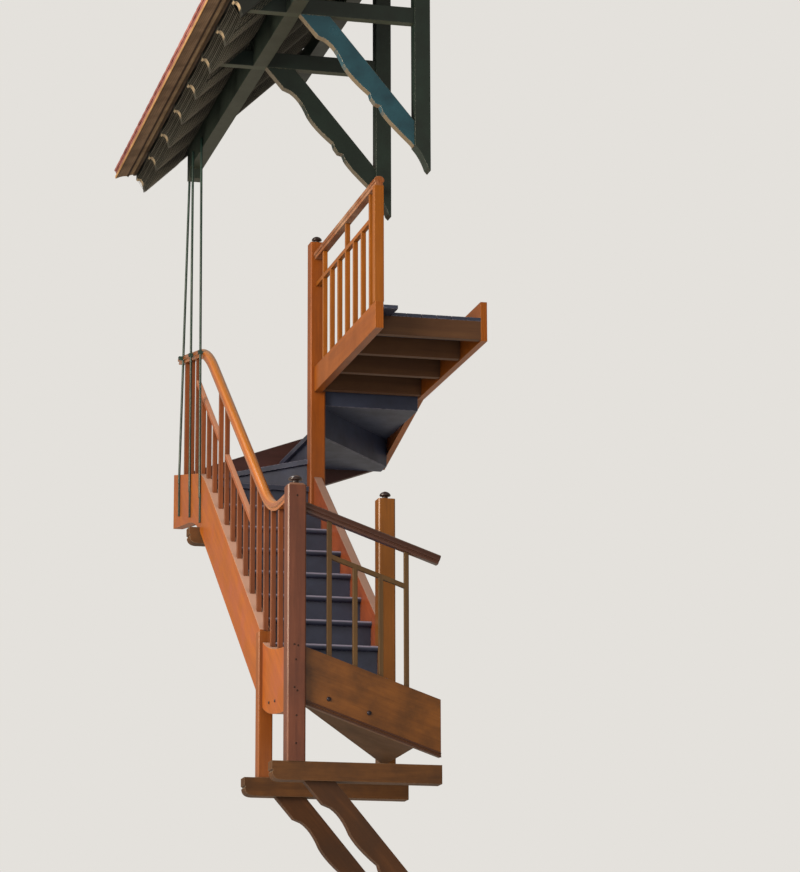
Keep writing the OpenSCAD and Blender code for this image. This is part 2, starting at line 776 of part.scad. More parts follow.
front_beam();
rear_beam();
upper_beam();
knee_braces();
front_newel();
rear_post();
inner_newel();
tall_newel();
outer_string();
lower_string();
front_string();
inner_string();
back_string();
wall_string();
landing_string();
threshold_board();
lower_winder_treads();
lower_winder_risers();
winder_soffit();
straight_treads();
straight_risers();
upper_winder_treads();
upper_winder_risers();
landing_boards();
landing_joists();
outer_handrail();
outer_balusters();
outer_mid_rails();
front_handrail();
front_bars();
landing_handrail();
landing_balusters();
landing_mid_rail();
hanger_rods();
wall_posts();
canopy_arms();
front_brace();
rear_brace();
eaves_plate();
wall_plate();
rafters();
roof_boards();
eaves_board();
roof_tiles();
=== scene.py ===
"""A timber escape stair with its guards, its cantilever beams and its small tiled canopy.
Every size is in metres in the frame of the CAD part: X = 0 is the face that the stair is fixed to, it
stands out along -X, climbs along +Y, and Z = 0 is the middle of the front beam."""
import math

import bmesh
import bpy
from mathutils import Matrix, Vector


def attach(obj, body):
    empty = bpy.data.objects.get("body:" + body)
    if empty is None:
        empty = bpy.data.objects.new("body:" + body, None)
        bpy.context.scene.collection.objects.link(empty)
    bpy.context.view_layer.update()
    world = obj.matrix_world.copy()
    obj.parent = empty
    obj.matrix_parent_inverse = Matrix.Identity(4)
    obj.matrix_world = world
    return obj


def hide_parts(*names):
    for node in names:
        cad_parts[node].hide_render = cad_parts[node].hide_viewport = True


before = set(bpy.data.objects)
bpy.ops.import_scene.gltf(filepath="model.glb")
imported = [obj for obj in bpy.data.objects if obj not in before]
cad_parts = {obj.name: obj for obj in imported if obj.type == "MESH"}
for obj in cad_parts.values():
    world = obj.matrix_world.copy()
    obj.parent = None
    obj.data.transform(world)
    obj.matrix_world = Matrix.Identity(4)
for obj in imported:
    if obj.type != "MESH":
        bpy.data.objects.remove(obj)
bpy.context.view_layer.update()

# ---------------------------------------------------------------- camera, floor and studio light
# The photograph looks up at the stair from the ground, a little from its open side, so the floor lies
# at the foot of that viewer and the soft lamps hang on the open side and in front.
camera_data = bpy.data.cameras.new("view")
camera = bpy.data.objects.new("view", camera_data)
bpy.context.scene.collection.objects.link(camera)
camera_data.sensor_width = 36.0
camera_data.lens = 136.8
camera_data.clip_end = 200.0
camera.location = (-4.650, -17.665, -2.266)
camera.rotation_euler = (Matrix.Rotation(math.radians(-14.072), 3, "Z")
                         @ Matrix.Rotation(math.radians(90 + 12.927), 3, "X")
                         @ Matrix.Rotation(math.radians(-0.177), 3, "Z")).to_euler()
bpy.context.scene.camera = camera
bpy.context.scene.view_settings.view_transform = "Standard"


def linear(hex_colour):
    """An sRGB hex value such as a85f24 as the linear colour that a socket takes."""
    channels = [int(hex_colour[i:i + 2], 16) / 255 for i in (0, 2, 4)]
    return tuple(c / 12.92 if c <= 0.04045 else ((c + 0.055) / 1.055) ** 2.4 for c in channels) + (1.0,)


def add(tree, kind, inputs=None, **settings):
    """Adds a node with its settings, and gives each named or numbered input a value or a link."""
    node = tree.nodes.new(kind)
    for name, value in settings.items():
        setattr(node, name, value)
    for name, value in (inputs or {}).items():
        if isinstance(value, bpy.types.NodeSocket):
            tree.links.new(value, node.inputs[name])
        else:
            node.inputs[name].default_value = value
    return node


def new_material(name):
    """An empty node material, returned with its tree."""
    material = bpy.data.materials.new(name)
    material.use_nodes = True
    material.node_tree.nodes.clear()
    return material, material.node_tree


def mesh_piece(name, verts, faces, material=None, edges=()):
    """A mesh object at the origin whose place is in its points."""
    mesh = bpy.data.meshes.new(name)
    mesh.from_pydata([tuple(v) for v in verts], list(edges), faces)
    mesh.update()
    piece = bpy.data.objects.new(name, mesh)
    bpy.context.scene.collection.objects.link(piece)
    if material:
        mesh.materials.append(material)
    return piece


# Matt pale floor paint with faint clouds, which shows the shadow softly
floor_paint, tree = new_material("pale_floor_paint")
floor_noise = add(tree, "ShaderNodeTexNoise", {"Scale": 3.0, "Detail": 4.0})
floor_tone = add(tree, "ShaderNodeMix", {"Factor": floor_noise.outputs["Fac"],
                 "A": linear("d8d5cf"), "B": linear("dedbd6")}, data_type="RGBA")
floor_shader = add(tree, "ShaderNodeBsdfPrincipled",
                   {"Base Color": floor_tone.outputs["Result"], "Roughness": 0.85,
                    "Emission Color": floor_tone.outputs["Result"], "Emission Strength": 0.14})
add(tree, "ShaderNodeOutputMaterial", {"Surface": floor_shader.outputs["BSDF"]})
floor_z, floor_reach = -3.9, 40.0
floor = mesh_piece("floor", [(floor_reach * x, floor_reach * y, floor_z)
                             for x, y in ((-1, -1), (1, -1), (1, 1), (-1, 1))], [(0, 1, 2, 3)], floor_paint)

# Each lamp's place, width, power and colour
stair_middle = Vector((-0.5, 1.6, 2.0))
lamps = (("open_side_lamp", (-8.0, -2.5, 4.0), 5.0, 1150.0, "ffeed6"),
         ("front_lamp", (-1.5, -10.0, 2.5), 6.0, 120.0, "f4f1ec"),
         ("roof_lamp", (-3.0, 3.0, 10.5), 5.0, 420.0, "ffffff"),
         ("low_lamp", (-4.5, -7.0, -2.8), 4.0, 65.0, "fff6ea"))
for lamp_name, place, size, power, colour in lamps:
    lamp_data = bpy.data.lights.new(lamp_name, "AREA")
    lamp_data.shape = "DISK"
    lamp_data.size = size
    lamp_data.energy = power
    lamp_data.color = linear(colour)[:3]
    lamp = bpy.data.objects.new(lamp_name, lamp_data)
    bpy.context.scene.collection.objects.link(lamp)
    lamp.location = place
    lamp.rotation_euler = (stair_middle - Vector(place)).to_track_quat("-Z", "Y").to_euler()

# The surroundings light the stair a little and warmly, and the camera sees them as pale grey
world = bpy.data.worlds.new("studio")
bpy.context.scene.world = world
world.use_nodes = True
tree = world.node_tree
tree.nodes.clear()
eye = add(tree, "ShaderNodeLightPath")
glow = add(tree, "ShaderNodeBackground", {"Color": linear("f3e6d3"), "Strength": 0.34})
seen = add(tree, "ShaderNodeBackground", {"Color": linear("e4e1dc"), "Strength": 1.0})
both = add(tree, "ShaderNodeMixShader", {"Fac": eye.outputs["Is Camera Ray"],
           1: glow.outputs["Background"], 2: seen.outputs["Background"]})
add(tree, "ShaderNodeOutputWorld", {"Surface": both.outputs["Shader"]})

# ---------------------------------------------------------------- beams and cusped braces
# Three squared softwood beams are built in at their inner ends, and a plank brace sawn to a cusped edge
# props each. They are oiled, not varnished, and have weathered grey at their ends and lower arrises.
ALONG_X = (0.0, 0.0, 0.0)
ALONG_Y = (0.0, 0.0, math.radians(90))
ALONG_Z = (0.0, math.radians(-90), 0.0)
ALONG_BRACE = (0.0, math.radians(49.3), 0.0)
arris_radius = 0.005


def timber(name, early, late, along, arris_wear_and_highlight, arris_share=0.5, blotch=None, rough=0.42, coat=0.25, stain=0.35,
           top=None, top_share=0.0, cap_from=None, cap_colour="30262a", corner_shade="2a1a12"):
    """Wood whose growth rings run along one direction, or along the piece's own attributes.
    early and late are the ring colours. arris_wear_and_highlight tints the arrises, as wear on most pieces
    and as a painted highlight on the outer rail and the eaves board. blotch shows in stains, top on faces
    that look up, corner_shade in corners as painted shade, and cap_colour above the height cap_from."""
    material, tree = new_material(name)
    place = add(tree, "ShaderNodeTexCoord")
    if along is None:
        run = add(tree, "ShaderNodeAttribute", attribute_name="along")
        across = add(tree, "ShaderNodeAttribute", attribute_name="across")
        split = add(tree, "ShaderNodeSeparateXYZ", {"Vector": across.outputs["Vector"]})
        turned = add(tree, "ShaderNodeCombineXYZ", {"X": run.outputs["Fac"], "Y": split.outputs["X"],
                     "Z": split.outputs["Y"]})
    else:
        turned = add(tree, "ShaderNodeMapping", {"Vector": place.outputs["Object"], "Rotation": along},
                     vector_type="TEXTURE")
    # Along the grain the pattern is drawn out sixteen times
    long_grain = add(tree, "ShaderNodeMapping", {"Vector": turned.outputs["Vector"],
                     "Scale": (1.0, 16.0, 16.0)})
    # The arris tint comes and goes over streaks 40 mm wide
    drift = add(tree, "ShaderNodeTexNoise", {"Vector": long_grain.outputs["Vector"], "Scale": 1.6,
                "Detail": 3.0, "Roughness": 0.55})
    # Rings 14 mm apart, which is coarser than real ones, so that they show
    rings = add(tree, "ShaderNodeTexWave", {"Vector": long_grain.outputs["Vector"], "Scale": 1.4,
                "Distortion": 6.0, "Detail": 3.0, "Detail Scale": 0.8, "Detail Roughness": 0.6},
                wave_type="BANDS", bands_direction="Y")
    # Fibres 7 mm wide and 110 mm long, also coarser than real ones
    fibre = add(tree, "ShaderNodeTexNoise", {"Vector": long_grain.outputs["Vector"], "Scale": 9.0,
                "Detail": 5.0, "Roughness": 0.65})
    figure = add(tree, "ShaderNodeMix", {"Factor": 0.6, "A": rings.outputs["Fac"],
                 "B": fibre.outputs["Fac"]})
    tone = add(tree, "ShaderNodeMix", {"Factor": figure.outputs["Result"], "A": linear(late),
               "B": linear(early)}, data_type="RGBA")
    # Stains 220 mm across
    cloud = add(tree, "ShaderNodeTexNoise", {"Vector": place.outputs["Object"], "Scale": 4.5,
                "Detail": 5.0, "Roughness": 0.6})
    cloud_share = add(tree, "ShaderNodeMapRange", {"Value": cloud.outputs["Fac"], "From Min": 0.42,
                      "From Max": 0.68, "To Min": 0.0, "To Max": stain})
    stained = add(tree, "ShaderNodeMix", {"Factor": cloud_share.outputs["Result"],
                  "A": tone.outputs["Result"], "B": linear(blotch or late)}, data_type="RGBA")
    facing = add(tree, "ShaderNodeNewGeometry")
    face_parts = add(tree, "ShaderNodeSeparateXYZ", {"Vector": facing.outputs["True Normal"]})
    upward = add(tree, "ShaderNodeMapRange", {"Value": face_parts.outputs["Z"], "From Min": 0.45,
                 "From Max": 0.75, "To Min": 0.0, "To Max": top_share})
    # Faces that look up take the top colour: scuffs and weather on most pieces, a painted highlight on the
    # outer rail and the newel caps, and painted shade on the front string
    top_scuff_and_shading = add(tree, "ShaderNodeMix", {"Factor": upward.outputs["Result"],
                  "A": stained.outputs["Result"], "B": linear(top or arris_wear_and_highlight)}, data_type="RGBA")
    # The rounded arris shows as the difference between the true and the softened normal
    softened = add(tree, "ShaderNodeBevel", {"Radius": arris_radius}, samples=4)
    turn = add(tree, "ShaderNodeVectorMath", {0: facing.outputs["Normal"], 1: softened.outputs["Normal"]},
               operation="DOT_PRODUCT")
    arris = add(tree, "ShaderNodeMapRange", {"Value": turn.outputs["Value"], "From Min": 0.995,
                "From Max": 0.86, "To Min": 0.0, "To Max": arris_share})
    patchy = add(tree, "ShaderNodeMath", {0: arris.outputs["Result"], 1: drift.outputs["Fac"]},
                 operation="MULTIPLY")
    # The arrises take the arris colour: wear on most pieces, a painted highlight on the outer rail and the
    # eaves board
    rubbed_and_lit_arrises = add(tree, "ShaderNodeMix", {"Factor": patchy.outputs["Value"], "A": top_scuff_and_shading.outputs["Result"],
                 "B": linear(arris_wear_and_highlight)}, data_type="RGBA")
    # Corners that ambient occlusion finds are darkened towards the corner colour, as painted shade
    corner = add(tree, "ShaderNodeAmbientOcclusion", {"Distance": 0.06}, samples=4)
    painted_corner_shade = add(tree, "ShaderNodeMapRange", {"Value": corner.outputs["AO"], "From Min": 0.35,
                "From Max": 0.85, "To Min": 0.5, "To Max": 0.0})
    colour = add(tree, "ShaderNodeMix", {"Factor": painted_corner_shade.outputs["Result"], "A": rubbed_and_lit_arrises.outputs["Result"],
                 "B": linear(corner_shade)}, data_type="RGBA")
    if cap_from is not None:
        height = add(tree, "ShaderNodeSeparateXYZ", {"Vector": place.outputs["Object"]})
        cap = add(tree, "ShaderNodeMath", {0: height.outputs["Z"], 1: cap_from}, operation="GREATER_THAN")
        colour = add(tree, "ShaderNodeMix", {"Factor": cap.outputs["Value"], "A": colour.outputs["Result"],
                     "B": linear(cap_colour)}, data_type="RGBA")
    sheen = add(tree, "ShaderNodeMapRange", {"Value": cloud.outputs["Fac"], "To Min": rough - 0.1,
                "To Max": rough + 0.16})
    bump = add(tree, "ShaderNodeBump", {"Height": figure.outputs["Result"], "Strength": 0.22,
               "Distance": 0.0016, "Normal": softened.outputs["Normal"]})
    shader = add(tree, "ShaderNodeBsdfPrincipled", {"Base Color": colour.outputs["Result"],
                 "Roughness": sheen.outputs["Result"], "Normal": bump.outputs["Normal"],
                 "Specular IOR Level": 0.3, "Coat Weight": coat, "Coat Roughness": 0.2})
    add(tree, "ShaderNodeOutputMaterial", {"Surface": shader.outputs["BSDF"]})
    return material


def dress(material, *nodes):
    """Gives the named CAD solids their finish."""
    for node in nodes:
        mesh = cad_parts[node].data
        mesh.materials.clear()
        mesh.materials.append(material)


# Oiled softwood, dull and grained, grey where rain lies on it
beam_wood = timber("weathered_oiled_beam", "6b4523", "432912", ALONG_X, "a8957c", arris_share=0.9,
                   blotch="38261a", rough=0.62, coat=0.05, stain=0.65, top="7a746a", top_share=0.6)
# The same oil on planks in the shade, darker, with pale sawn arrises
brace_wood = timber("weathered_oiled_brace", "5e3a1f", "3c2412", ALONG_BRACE, "a48c70", arris_share=0.8,
                    blotch="38261c", rough=0.6, coat=0.05, stain=0.6)
dress(beam_wood, "front_beam", "rear_beam", "upper_beam")
dress(brace_wood, "knee_braces")

# ---------------------------------------------------------------- newels and posts
# Squared redwood posts, stained and varnished, carry the rails and strings. Each newel ends in a small
# dark turned button, and turned pellets hide the screws that hold the front newel to its neighbours.

# Red-brown stain under varnish, rubbed pale at the corners, and darker than the other posts as painted
# shade
newel_wood = timber("varnished_redwood_front_newel", "75422c", "52291b", ALONG_Z, "bd8258", arris_share=0.7,
                    stain=0.4, blotch="43241a", coat=0.3, cap_from=1.6085, top="a88876", top_share=0.7)
# Clear varnish on redwood. Each post further from the front is given a brighter, yellower copy of it,
# which paints the light that falls on it
post_wood = timber("varnished_redwood_post", "9c581c", "743c12", ALONG_Z, "cc9355", arris_share=0.6,
                   stain=0.3, coat=0.35)
lower_newel_wood = timber("varnished_redwood_lower_newel", "8c5514", "653a0c", ALONG_Z, "c07c38",
                          arris_share=0.6, stain=0.3, coat=0.35, cap_from=1.706)
tall_newel_wood = timber("varnished_redwood_tall_newel", "a05410", "6e360a", ALONG_Z, "cc8840",
                         arris_share=0.6, stain=0.35, coat=0.35, cap_from=3.786)
dress(newel_wood, "front_newel")
dress(post_wood, "rear_post")
dress(lower_newel_wood, "inner_newel")
dress(tall_newel_wood, "tall_newel")


def new_growth(name, **sockets):
    """An empty geometry tree whose named inputs are the given socket types."""
    tree = bpy.data.node_groups.new(name, "GeometryNodeTree")
    tree.interface.new_socket(name="Geometry", in_out="INPUT", socket_type="NodeSocketGeometry")
    for socket, kind in sockets.items():
        tree.interface.new_socket(name=socket, in_out="INPUT", socket_type="NodeSocket" + kind)
    tree.interface.new_socket(name="Geometry", in_out="OUTPUT", socket_type="NodeSocketGeometry")
    return tree, tree.nodes.new("NodeGroupInput")


def grow(name, tree, base, **values):
    """Runs a geometry tree on a base mesh, and keeps the result as a plain closed mesh."""
    modifier = base.modifiers.new("growth", "NODES")
    modifier.node_group = tree
    for item in tree.interface.items_tree:
        if item.in_out == "INPUT" and item.name in values:
            modifier[item.identifier] = values[item.name]
    bpy.context.view_layer.update()
    depsgraph = bpy.context.evaluated_depsgraph_get()
    mesh = bpy.data.meshes.new_from_object(base.evaluated_get(depsgraph), preserve_all_data_layers=True,
                                           depsgraph=depsgraph)
    base.modifiers.remove(modifier)
    bpy.data.objects.remove(base)
    mesh.name = name
    piece = bpy.data.objects.new(name, mesh)
    bpy.context.scene.collection.objects.link(piece)
    return piece


stud_tree, given = new_growth("round_heads", Radius="Float", Height="Float", Finish="Material")
head = add(stud_tree, "GeometryNodeMeshUVSphere", {"Segments": 12, "Rings": 6, "Radius": 1.0})
outward = add(stud_tree, "GeometryNodeInputNamedAttribute", {"Name": "outward"}, data_type="FLOAT_VECTOR")
aim = add(stud_tree, "FunctionNodeAlignRotationToVector", {"Vector": outward.outputs["Attribute"]},
          axis="Z")
head_size = add(stud_tree, "ShaderNodeCombineXYZ", {"X": given.outputs["Radius"],
                "Y": given.outputs["Radius"], "Z": given.outputs["Height"]})
heads = add(stud_tree, "GeometryNodeInstanceOnPoints", {"Points": given.outputs["Geometry"],
            "Instance": head.outputs["Mesh"], "Rotation": aim.outputs["Rotation"],
            "Scale": head_size.outputs["Vector"]})
loose = add(stud_tree, "GeometryNodeRealizeInstances", {"Geometry": heads.outputs["Instances"]})
rounded = add(stud_tree, "GeometryNodeSetShadeSmooth", {"Geometry": loose.outputs["Geometry"]})
finished = add(stud_tree, "GeometryNodeSetMaterial", {"Geometry": rounded.outputs["Geometry"],
               "Material": given.outputs["Finish"]})
add(stud_tree, "NodeGroupOutput", {"Geometry": finished.outputs["Geometry"]})


def studs(name, places, outward, radius, height, finish):
    """Round heads that stand out of a face at the given places."""
    base = mesh_piece(name + "_places", places, [])
    base.data.attributes.new("outward", "FLOAT_VECTOR", "POINT").data.foreach_set(
        "vector", list(outward) * len(places))
    piece = grow(name, stud_tree, base, Radius=radius, Height=height, Finish=finish)
    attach(piece, "root")
    return piece


# End grain drinks the stain, so the pellets are dull and nearly black
pellet_wood = timber("dark_end_grain_pellets", "3f2419", "2b1710", ALONG_Y, "5a3a2a", arris_share=0.0, rough=0.6,
                     coat=0.0)
newel_front = -0.0525
studs("newel_pellets", [(x, newel_front, z) for x, z in ((-0.824, 1.533), (-0.837, 0.696), (-0.816, 0.690),
      (-0.828, 0.612), (-0.836, 0.458), (-0.820, 0.440), (-0.824, 0.303), (-0.826, 0.150))],
      (0, -1, 0), radius=0.0062, height=0.0012, finish=pellet_wood)

# A broad turned cap, shaped like a mushroom, sits over the button on each newel. Its varnish is nearly
# black and glossy, with a soft highlight painted on the faces that look up.
cap_gloss = timber("dark_varnished_turned_caps", "33262a", "211a1c", ALONG_Z, "8a7c76", arris_share=0.6, rough=0.3,
                   coat=0.6, top="4a4042", top_share=0.5)
cap_profile = [(0.021, 0.0), (0.021, 0.004), (0.017, 0.010), (0.017, 0.019), (0.0315, 0.022),
               (0.0335, 0.026), (0.030, 0.035), (0.021, 0.043), (0.009, 0.048)]
cap_sides = 16
newel_heads = ((-0.824, 0.0, 1.6075, 1.2), (-0.124, 0.756, 1.7045, 1.0), (-0.124, 2.607, 3.784, 1.0))
cap_points, cap_faces = [], []
for cap_x, cap_y, cap_z, size in newel_heads:
    start = len(cap_points)
    for radius, height in cap_profile:
        for k in range(cap_sides):
            around = math.tau * k / cap_sides
            cap_points.append((cap_x + size * radius * math.cos(around),
                               cap_y + size * radius * math.sin(around), cap_z + height))
    for row in range(len(cap_profile) - 1):
        low = start + row * cap_sides
        high = low + cap_sides
        for k in range(cap_sides):
            after = (k + 1) % cap_sides
            cap_faces.append((low + k, low + after, high + after, high + k))
    cap_faces += [tuple(start + k for k in reversed(range(cap_sides))),
                  tuple(start + (len(cap_profile) - 1) * cap_sides + k for k in range(cap_sides))]
caps = mesh_piece("newel_caps", cap_points, cap_faces, cap_gloss)
caps.data.shade_smooth()
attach(caps, "root")

# ---------------------------------------------------------------- strings
# Deep redwood boards carry the steps. Their faces are varnished orange, their top edges are scuffed
# pale by boots, and big black bolts hold them to the newels and to the beams.
rise, going = 0.190, 0.268
# The front of the stair falls inwards by this much for each metre
front_fall = 0.351
outer_face, front_face = -0.858, -0.025
RAKING = (0.0, -math.atan2(rise, going), math.radians(90))
ACROSS_FRONT = (0.0, math.atan(front_fall), 0.0)

# Orange varnish, with a broad pale scuff where boots brush the top edge
outer_string_wood = timber("varnished_redwood_outer_string", "b0600f", "8c4808", RAKING, "d6a070", arris_share=0.9,
                           blotch="9a5440", stain=0.6, rough=0.4, coat=0.15, top="b59486", top_share=0.85)
# The same varnish out of the sun, redder
inner_string_wood = timber("varnished_redwood_inner_string", "a0522c", "77381a", RAKING, "c3a491", arris_share=0.8,
                           blotch="6b3a28", rough=0.45, top="b09388", top_share=0.85)
# In the shade under the canopy, dark and purplish, grey along the top
back_string_wood = timber("varnished_redwood_back_string", "523230", "38211f", ALONG_X, "77705f", arris_share=0.8,
                          blotch="3a2a30", rough=0.5, coat=0.15, top="6c6a5c", top_share=0.8)
# Mottled brown varnish, blotched where the sun has lifted it, and dark grey along the top edge as
# painted shade
front_string_wood = timber("varnished_redwood_front_string", "82501f", "5f3710", ACROSS_FRONT, "a07e5c",
                           arris_share=0.5, blotch="452a12", stain=0.8, rough=0.42, top="4e4a50", top_share=0.8)
# Bare boards oiled once, dull brown
soffit_wood = timber("oiled_soffit_boards", "6b4a2c", "4d331c", ACROSS_FRONT, "8a6a4a", arris_share=0.3,
                     blotch="3c2a18", rough=0.6, coat=0.05, stain=0.6)
# Thicker varnish on the two boards that lie level. Their clear orange is a brighter copy of the string
# colour, which paints the sun on them
level_wood = timber("varnished_redwood_level_string", "a45a0c", "7e4006", ALONG_Y, "c88a48", arris_share=0.6,
                    blotch="6a3a14", coat=0.3, top="8c6a50", top_share=0.6)
dress(outer_string_wood, "outer_string", "lower_string")
dress(inner_string_wood, "inner_string")
dress(back_string_wood, "back_string")
dress(front_string_wood, "front_string")
dress(soffit_wood, "winder_soffit")
dress(level_wood, "landing_string", "wall_string")

# Forged iron, blacked and a little shiny, with rust in spots 6 mm across
bolt_iron, tree = new_material("blacked_iron_bolts")
place = add(tree, "ShaderNodeTexCoord")
rust = add(tree, "ShaderNodeTexNoise", {"Vector": place.outputs["Object"], "Scale": 160.0, "Detail": 4.0})
rust_share = add(tree, "ShaderNodeMapRange", {"Value": rust.outputs["Fac"], "From Min": 0.5,
                 "From Max": 0.7, "To Max": 0.6})
rust_tone = add(tree, "ShaderNodeMix", {"Factor": rust_share.outputs["Result"], "A": linear("2b2a35"),
                "B": linear("4a2c20")}, data_type="RGBA")
bolt_shader = add(tree, "ShaderNodeBsdfPrincipled", {"Base Color": rust_tone.outputs["Result"],
                  "Metallic": 0.6, "Roughness": 0.38})
add(tree, "ShaderNodeOutputMaterial", {"Surface": bolt_shader.outputs["BSDF"]})
# A head's middle stands half a millimetre off the board, so that no flat of it lies in the face
seat_gap = 0.0005
studs("front_string_bolts", [(x, front_face - seat_gap, z) for x, z in ((-0.636, 0.402), (-0.408, 0.332))],
      (0, -1, 0), radius=0.0135, height=0.009, finish=bolt_iron)
studs("lower_string_bolts", [(outer_face - seat_gap, y, z) for y, z in ((0.520, 0.452), (0.360, 0.440))],
      (-1, 0, 0), radius=0.009, height=0.006, finish=bolt_iron)

# Two small beads, planted along the lower edge of the front string, throw its dark double line
bead_wood = timber("dark_planted_beads", "54301f", "3a2017", ACROSS_FRONT, "7a5238", arris_share=0.4, coat=0.3)
bead_deep, bead_half = 0.0065, 0.0060
bead_ring = [(front_face - bead_deep * math.sin(a), -bead_half * math.cos(a))
             for a in [math.pi * k / 6 for k in range(7)]]
bead_ring += [(front_face + seat_gap, bead_half), (front_face + seat_gap, -bead_half)]
front_outer_end, front_inner_end = -0.7714, -0.0002


def prism(ring_size, start):
    """Faces of a closed prism whose two rings of points follow each other from a first point."""
    far = start + ring_size
    sides = [(start + j, start + (j + 1) % ring_size, far + (j + 1) % ring_size, far + j)
             for j in range(ring_size)]
    return sides + [tuple(start + j for j in reversed(range(ring_size))),
                    tuple(far + j for j in range(ring_size))]


bead_points, bead_faces = [], []
for inner_z in (0.103, 0.119):
    bead_faces += prism(len(bead_ring), len(bead_points))
    for x in (front_outer_end, front_inner_end):
        bead_points += [(x, y, inner_z - x * front_fall + z) for y, z in bead_ring]


def set_outward(piece):
    """Turns every face of a closed mesh outwards."""
    shell = bmesh.new()
    shell.from_mesh(piece.data)
    bmesh.ops.recalc_face_normals(shell, faces=shell.faces)
    shell.to_mesh(piece.data)
    shell.free()


beads = mesh_piece("front_string_beads", bead_points, bead_faces, bead_wood)
set_outward(beads)
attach(beads, "root")

# ---------------------------------------------------------------- steps and landing boards
# Treads, risers and landing boards have slate-blue floor paint, brushed on thick. Feet have worn the
# rounded nosings down to pale primer, and dust lies on what faces up.


def painted(name, coat_colour, shade, bare, arris_share=0.6, rough=0.35, dust=0.0, dust_colour="8b8680",
            underside=None):
    """Brushed gloss paint, worn through to bare at the arrises and dusty where it faces up.
    coat_colour and shade are its two tones, and underside is the colour of what looks down."""
    material, tree = new_material(name)
    place = add(tree, "ShaderNodeTexCoord")
    # Faded patches 170 mm across
    cloud = add(tree, "ShaderNodeTexNoise", {"Vector": place.outputs["Object"], "Scale": 6.0,
                "Detail": 6.0, "Roughness": 0.62})
    # Brush marks about 17 mm apart, which is coarser than real ones
    brushed = add(tree, "ShaderNodeTexNoise", {"Vector": place.outputs["Object"], "Scale": 60.0,
                  "Detail": 4.0})
    share = add(tree, "ShaderNodeMapRange", {"Value": cloud.outputs["Fac"], "From Min": 0.35,
                "From Max": 0.7})
    tone = add(tree, "ShaderNodeMix", {"Factor": share.outputs["Result"], "A": linear(coat_colour),
               "B": linear(shade)}, data_type="RGBA")
    facing = add(tree, "ShaderNodeNewGeometry")
    softened = add(tree, "ShaderNodeBevel", {"Radius": arris_radius}, samples=4)
    turn = add(tree, "ShaderNodeVectorMath", {0: facing.outputs["Normal"], 1: softened.outputs["Normal"]},
               operation="DOT_PRODUCT")
    arris = add(tree, "ShaderNodeMapRange", {"Value": turn.outputs["Value"], "From Min": 0.99,
                "From Max": 0.85, "To Min": 0.0, "To Max": arris_share})
    chips = add(tree, "ShaderNodeMapRange", {"Value": brushed.outputs["Fac"], "From Min": 0.4,
                "From Max": 0.56})
    chipped = add(tree, "ShaderNodeMath", {0: arris.outputs["Result"], 1: chips.outputs["Result"]},
                  operation="MULTIPLY")
    arris_wear_and_highlight = add(tree, "ShaderNodeMix", {"Factor": chipped.outputs["Value"], "A": tone.outputs["Result"],
               "B": linear(bare)}, data_type="RGBA")
    parts = add(tree, "ShaderNodeSeparateXYZ", {"Vector": facing.outputs["Normal"]})
    settled = add(tree, "ShaderNodeMapRange", {"Value": parts.outputs["Z"], "From Min": 0.05,
                  "From Max": 0.6, "To Min": 0.0, "To Max": dust})
    colour = add(tree, "ShaderNodeMix", {"Factor": settled.outputs["Result"], "A": arris_wear_and_highlight.outputs["Result"],
                 "B": linear(dust_colour)}, data_type="RGBA")
    if underside:
        below = add(tree, "ShaderNodeMapRange", {"Value": parts.outputs["Z"], "From Min": -0.5,
                    "From Max": -0.65})
        colour = add(tree, "ShaderNodeMix", {"Factor": below.outputs["Result"],
                     "A": colour.outputs["Result"], "B": linear(underside)}, data_type="RGBA")
    sheen = add(tree, "ShaderNodeMapRange", {"Value": cloud.outputs["Fac"], "To Min": rough - 0.1,
                "To Max": rough + 0.2})
    bump = add(tree, "ShaderNodeBump", {"Height": brushed.outputs["Fac"], "Strength": 0.15,
               "Distance": 0.001, "Normal": softened.outputs["Normal"]})
    shader = add(tree, "ShaderNodeBsdfPrincipled", {"Base Color": colour.outputs["Result"],
                 "Roughness": sheen.outputs["Result"], "Normal": bump.outputs["Normal"]})
    add(tree, "ShaderNodeOutputMaterial", {"Surface": shader.outputs["BSDF"]})
    return material


# Slate-blue floor paint, satin, greyed by feet on the treads and nosings
step_paint = painted("slate_blue_floor_paint", "343c54", "272d40", "a09cb4", arris_share=1.0, rough=0.42,
                     dust=0.9, dust_colour="8c8ba4")
dress(step_paint, "threshold_board", "lower_winder_treads", "lower_winder_risers", "straight_treads",
      "straight_risers", "upper_winder_treads", "upper_winder_risers", "landing_boards")
# Rough softwood joists, oiled brown and never varnished
joist_wood = timber("oiled_landing_joists", "6a4a30", "4a3020", ALONG_X, "80664c", arris_share=0.3, rough=0.6,
                    coat=0.05)
dress(joist_wood, "landing_joists")

# ---------------------------------------------------------------- handrails
# Each rail is one moulded section, half round on top with a quirk each side and a fillet below. Hands
# keep the varnish of the outer rail bright, and a painted highlight lies on its top and arrises; the
# front rail is dark, and the landing rail is flaking.
half_wide, half_deep, round_from = 0.031, 0.029, 0.004
section = [(math.cos(math.radians(a)) * half_wide,
            round_from + math.sin(math.radians(a)) * (half_deep - round_from)) for a in range(0, 181, 12)]
# Each side of the lower part as its distance in from the widest line, and its height
flank = ((0.0, -0.006), (0.003, -0.0085), (0.009, -0.0105), (0.010, -0.014), (0.007, -0.018),
         (0.009, -half_deep))
section += [(inset - half_wide, z) for inset, z in flank]
section += [(half_wide - inset, z) for inset, z in reversed(flank)]

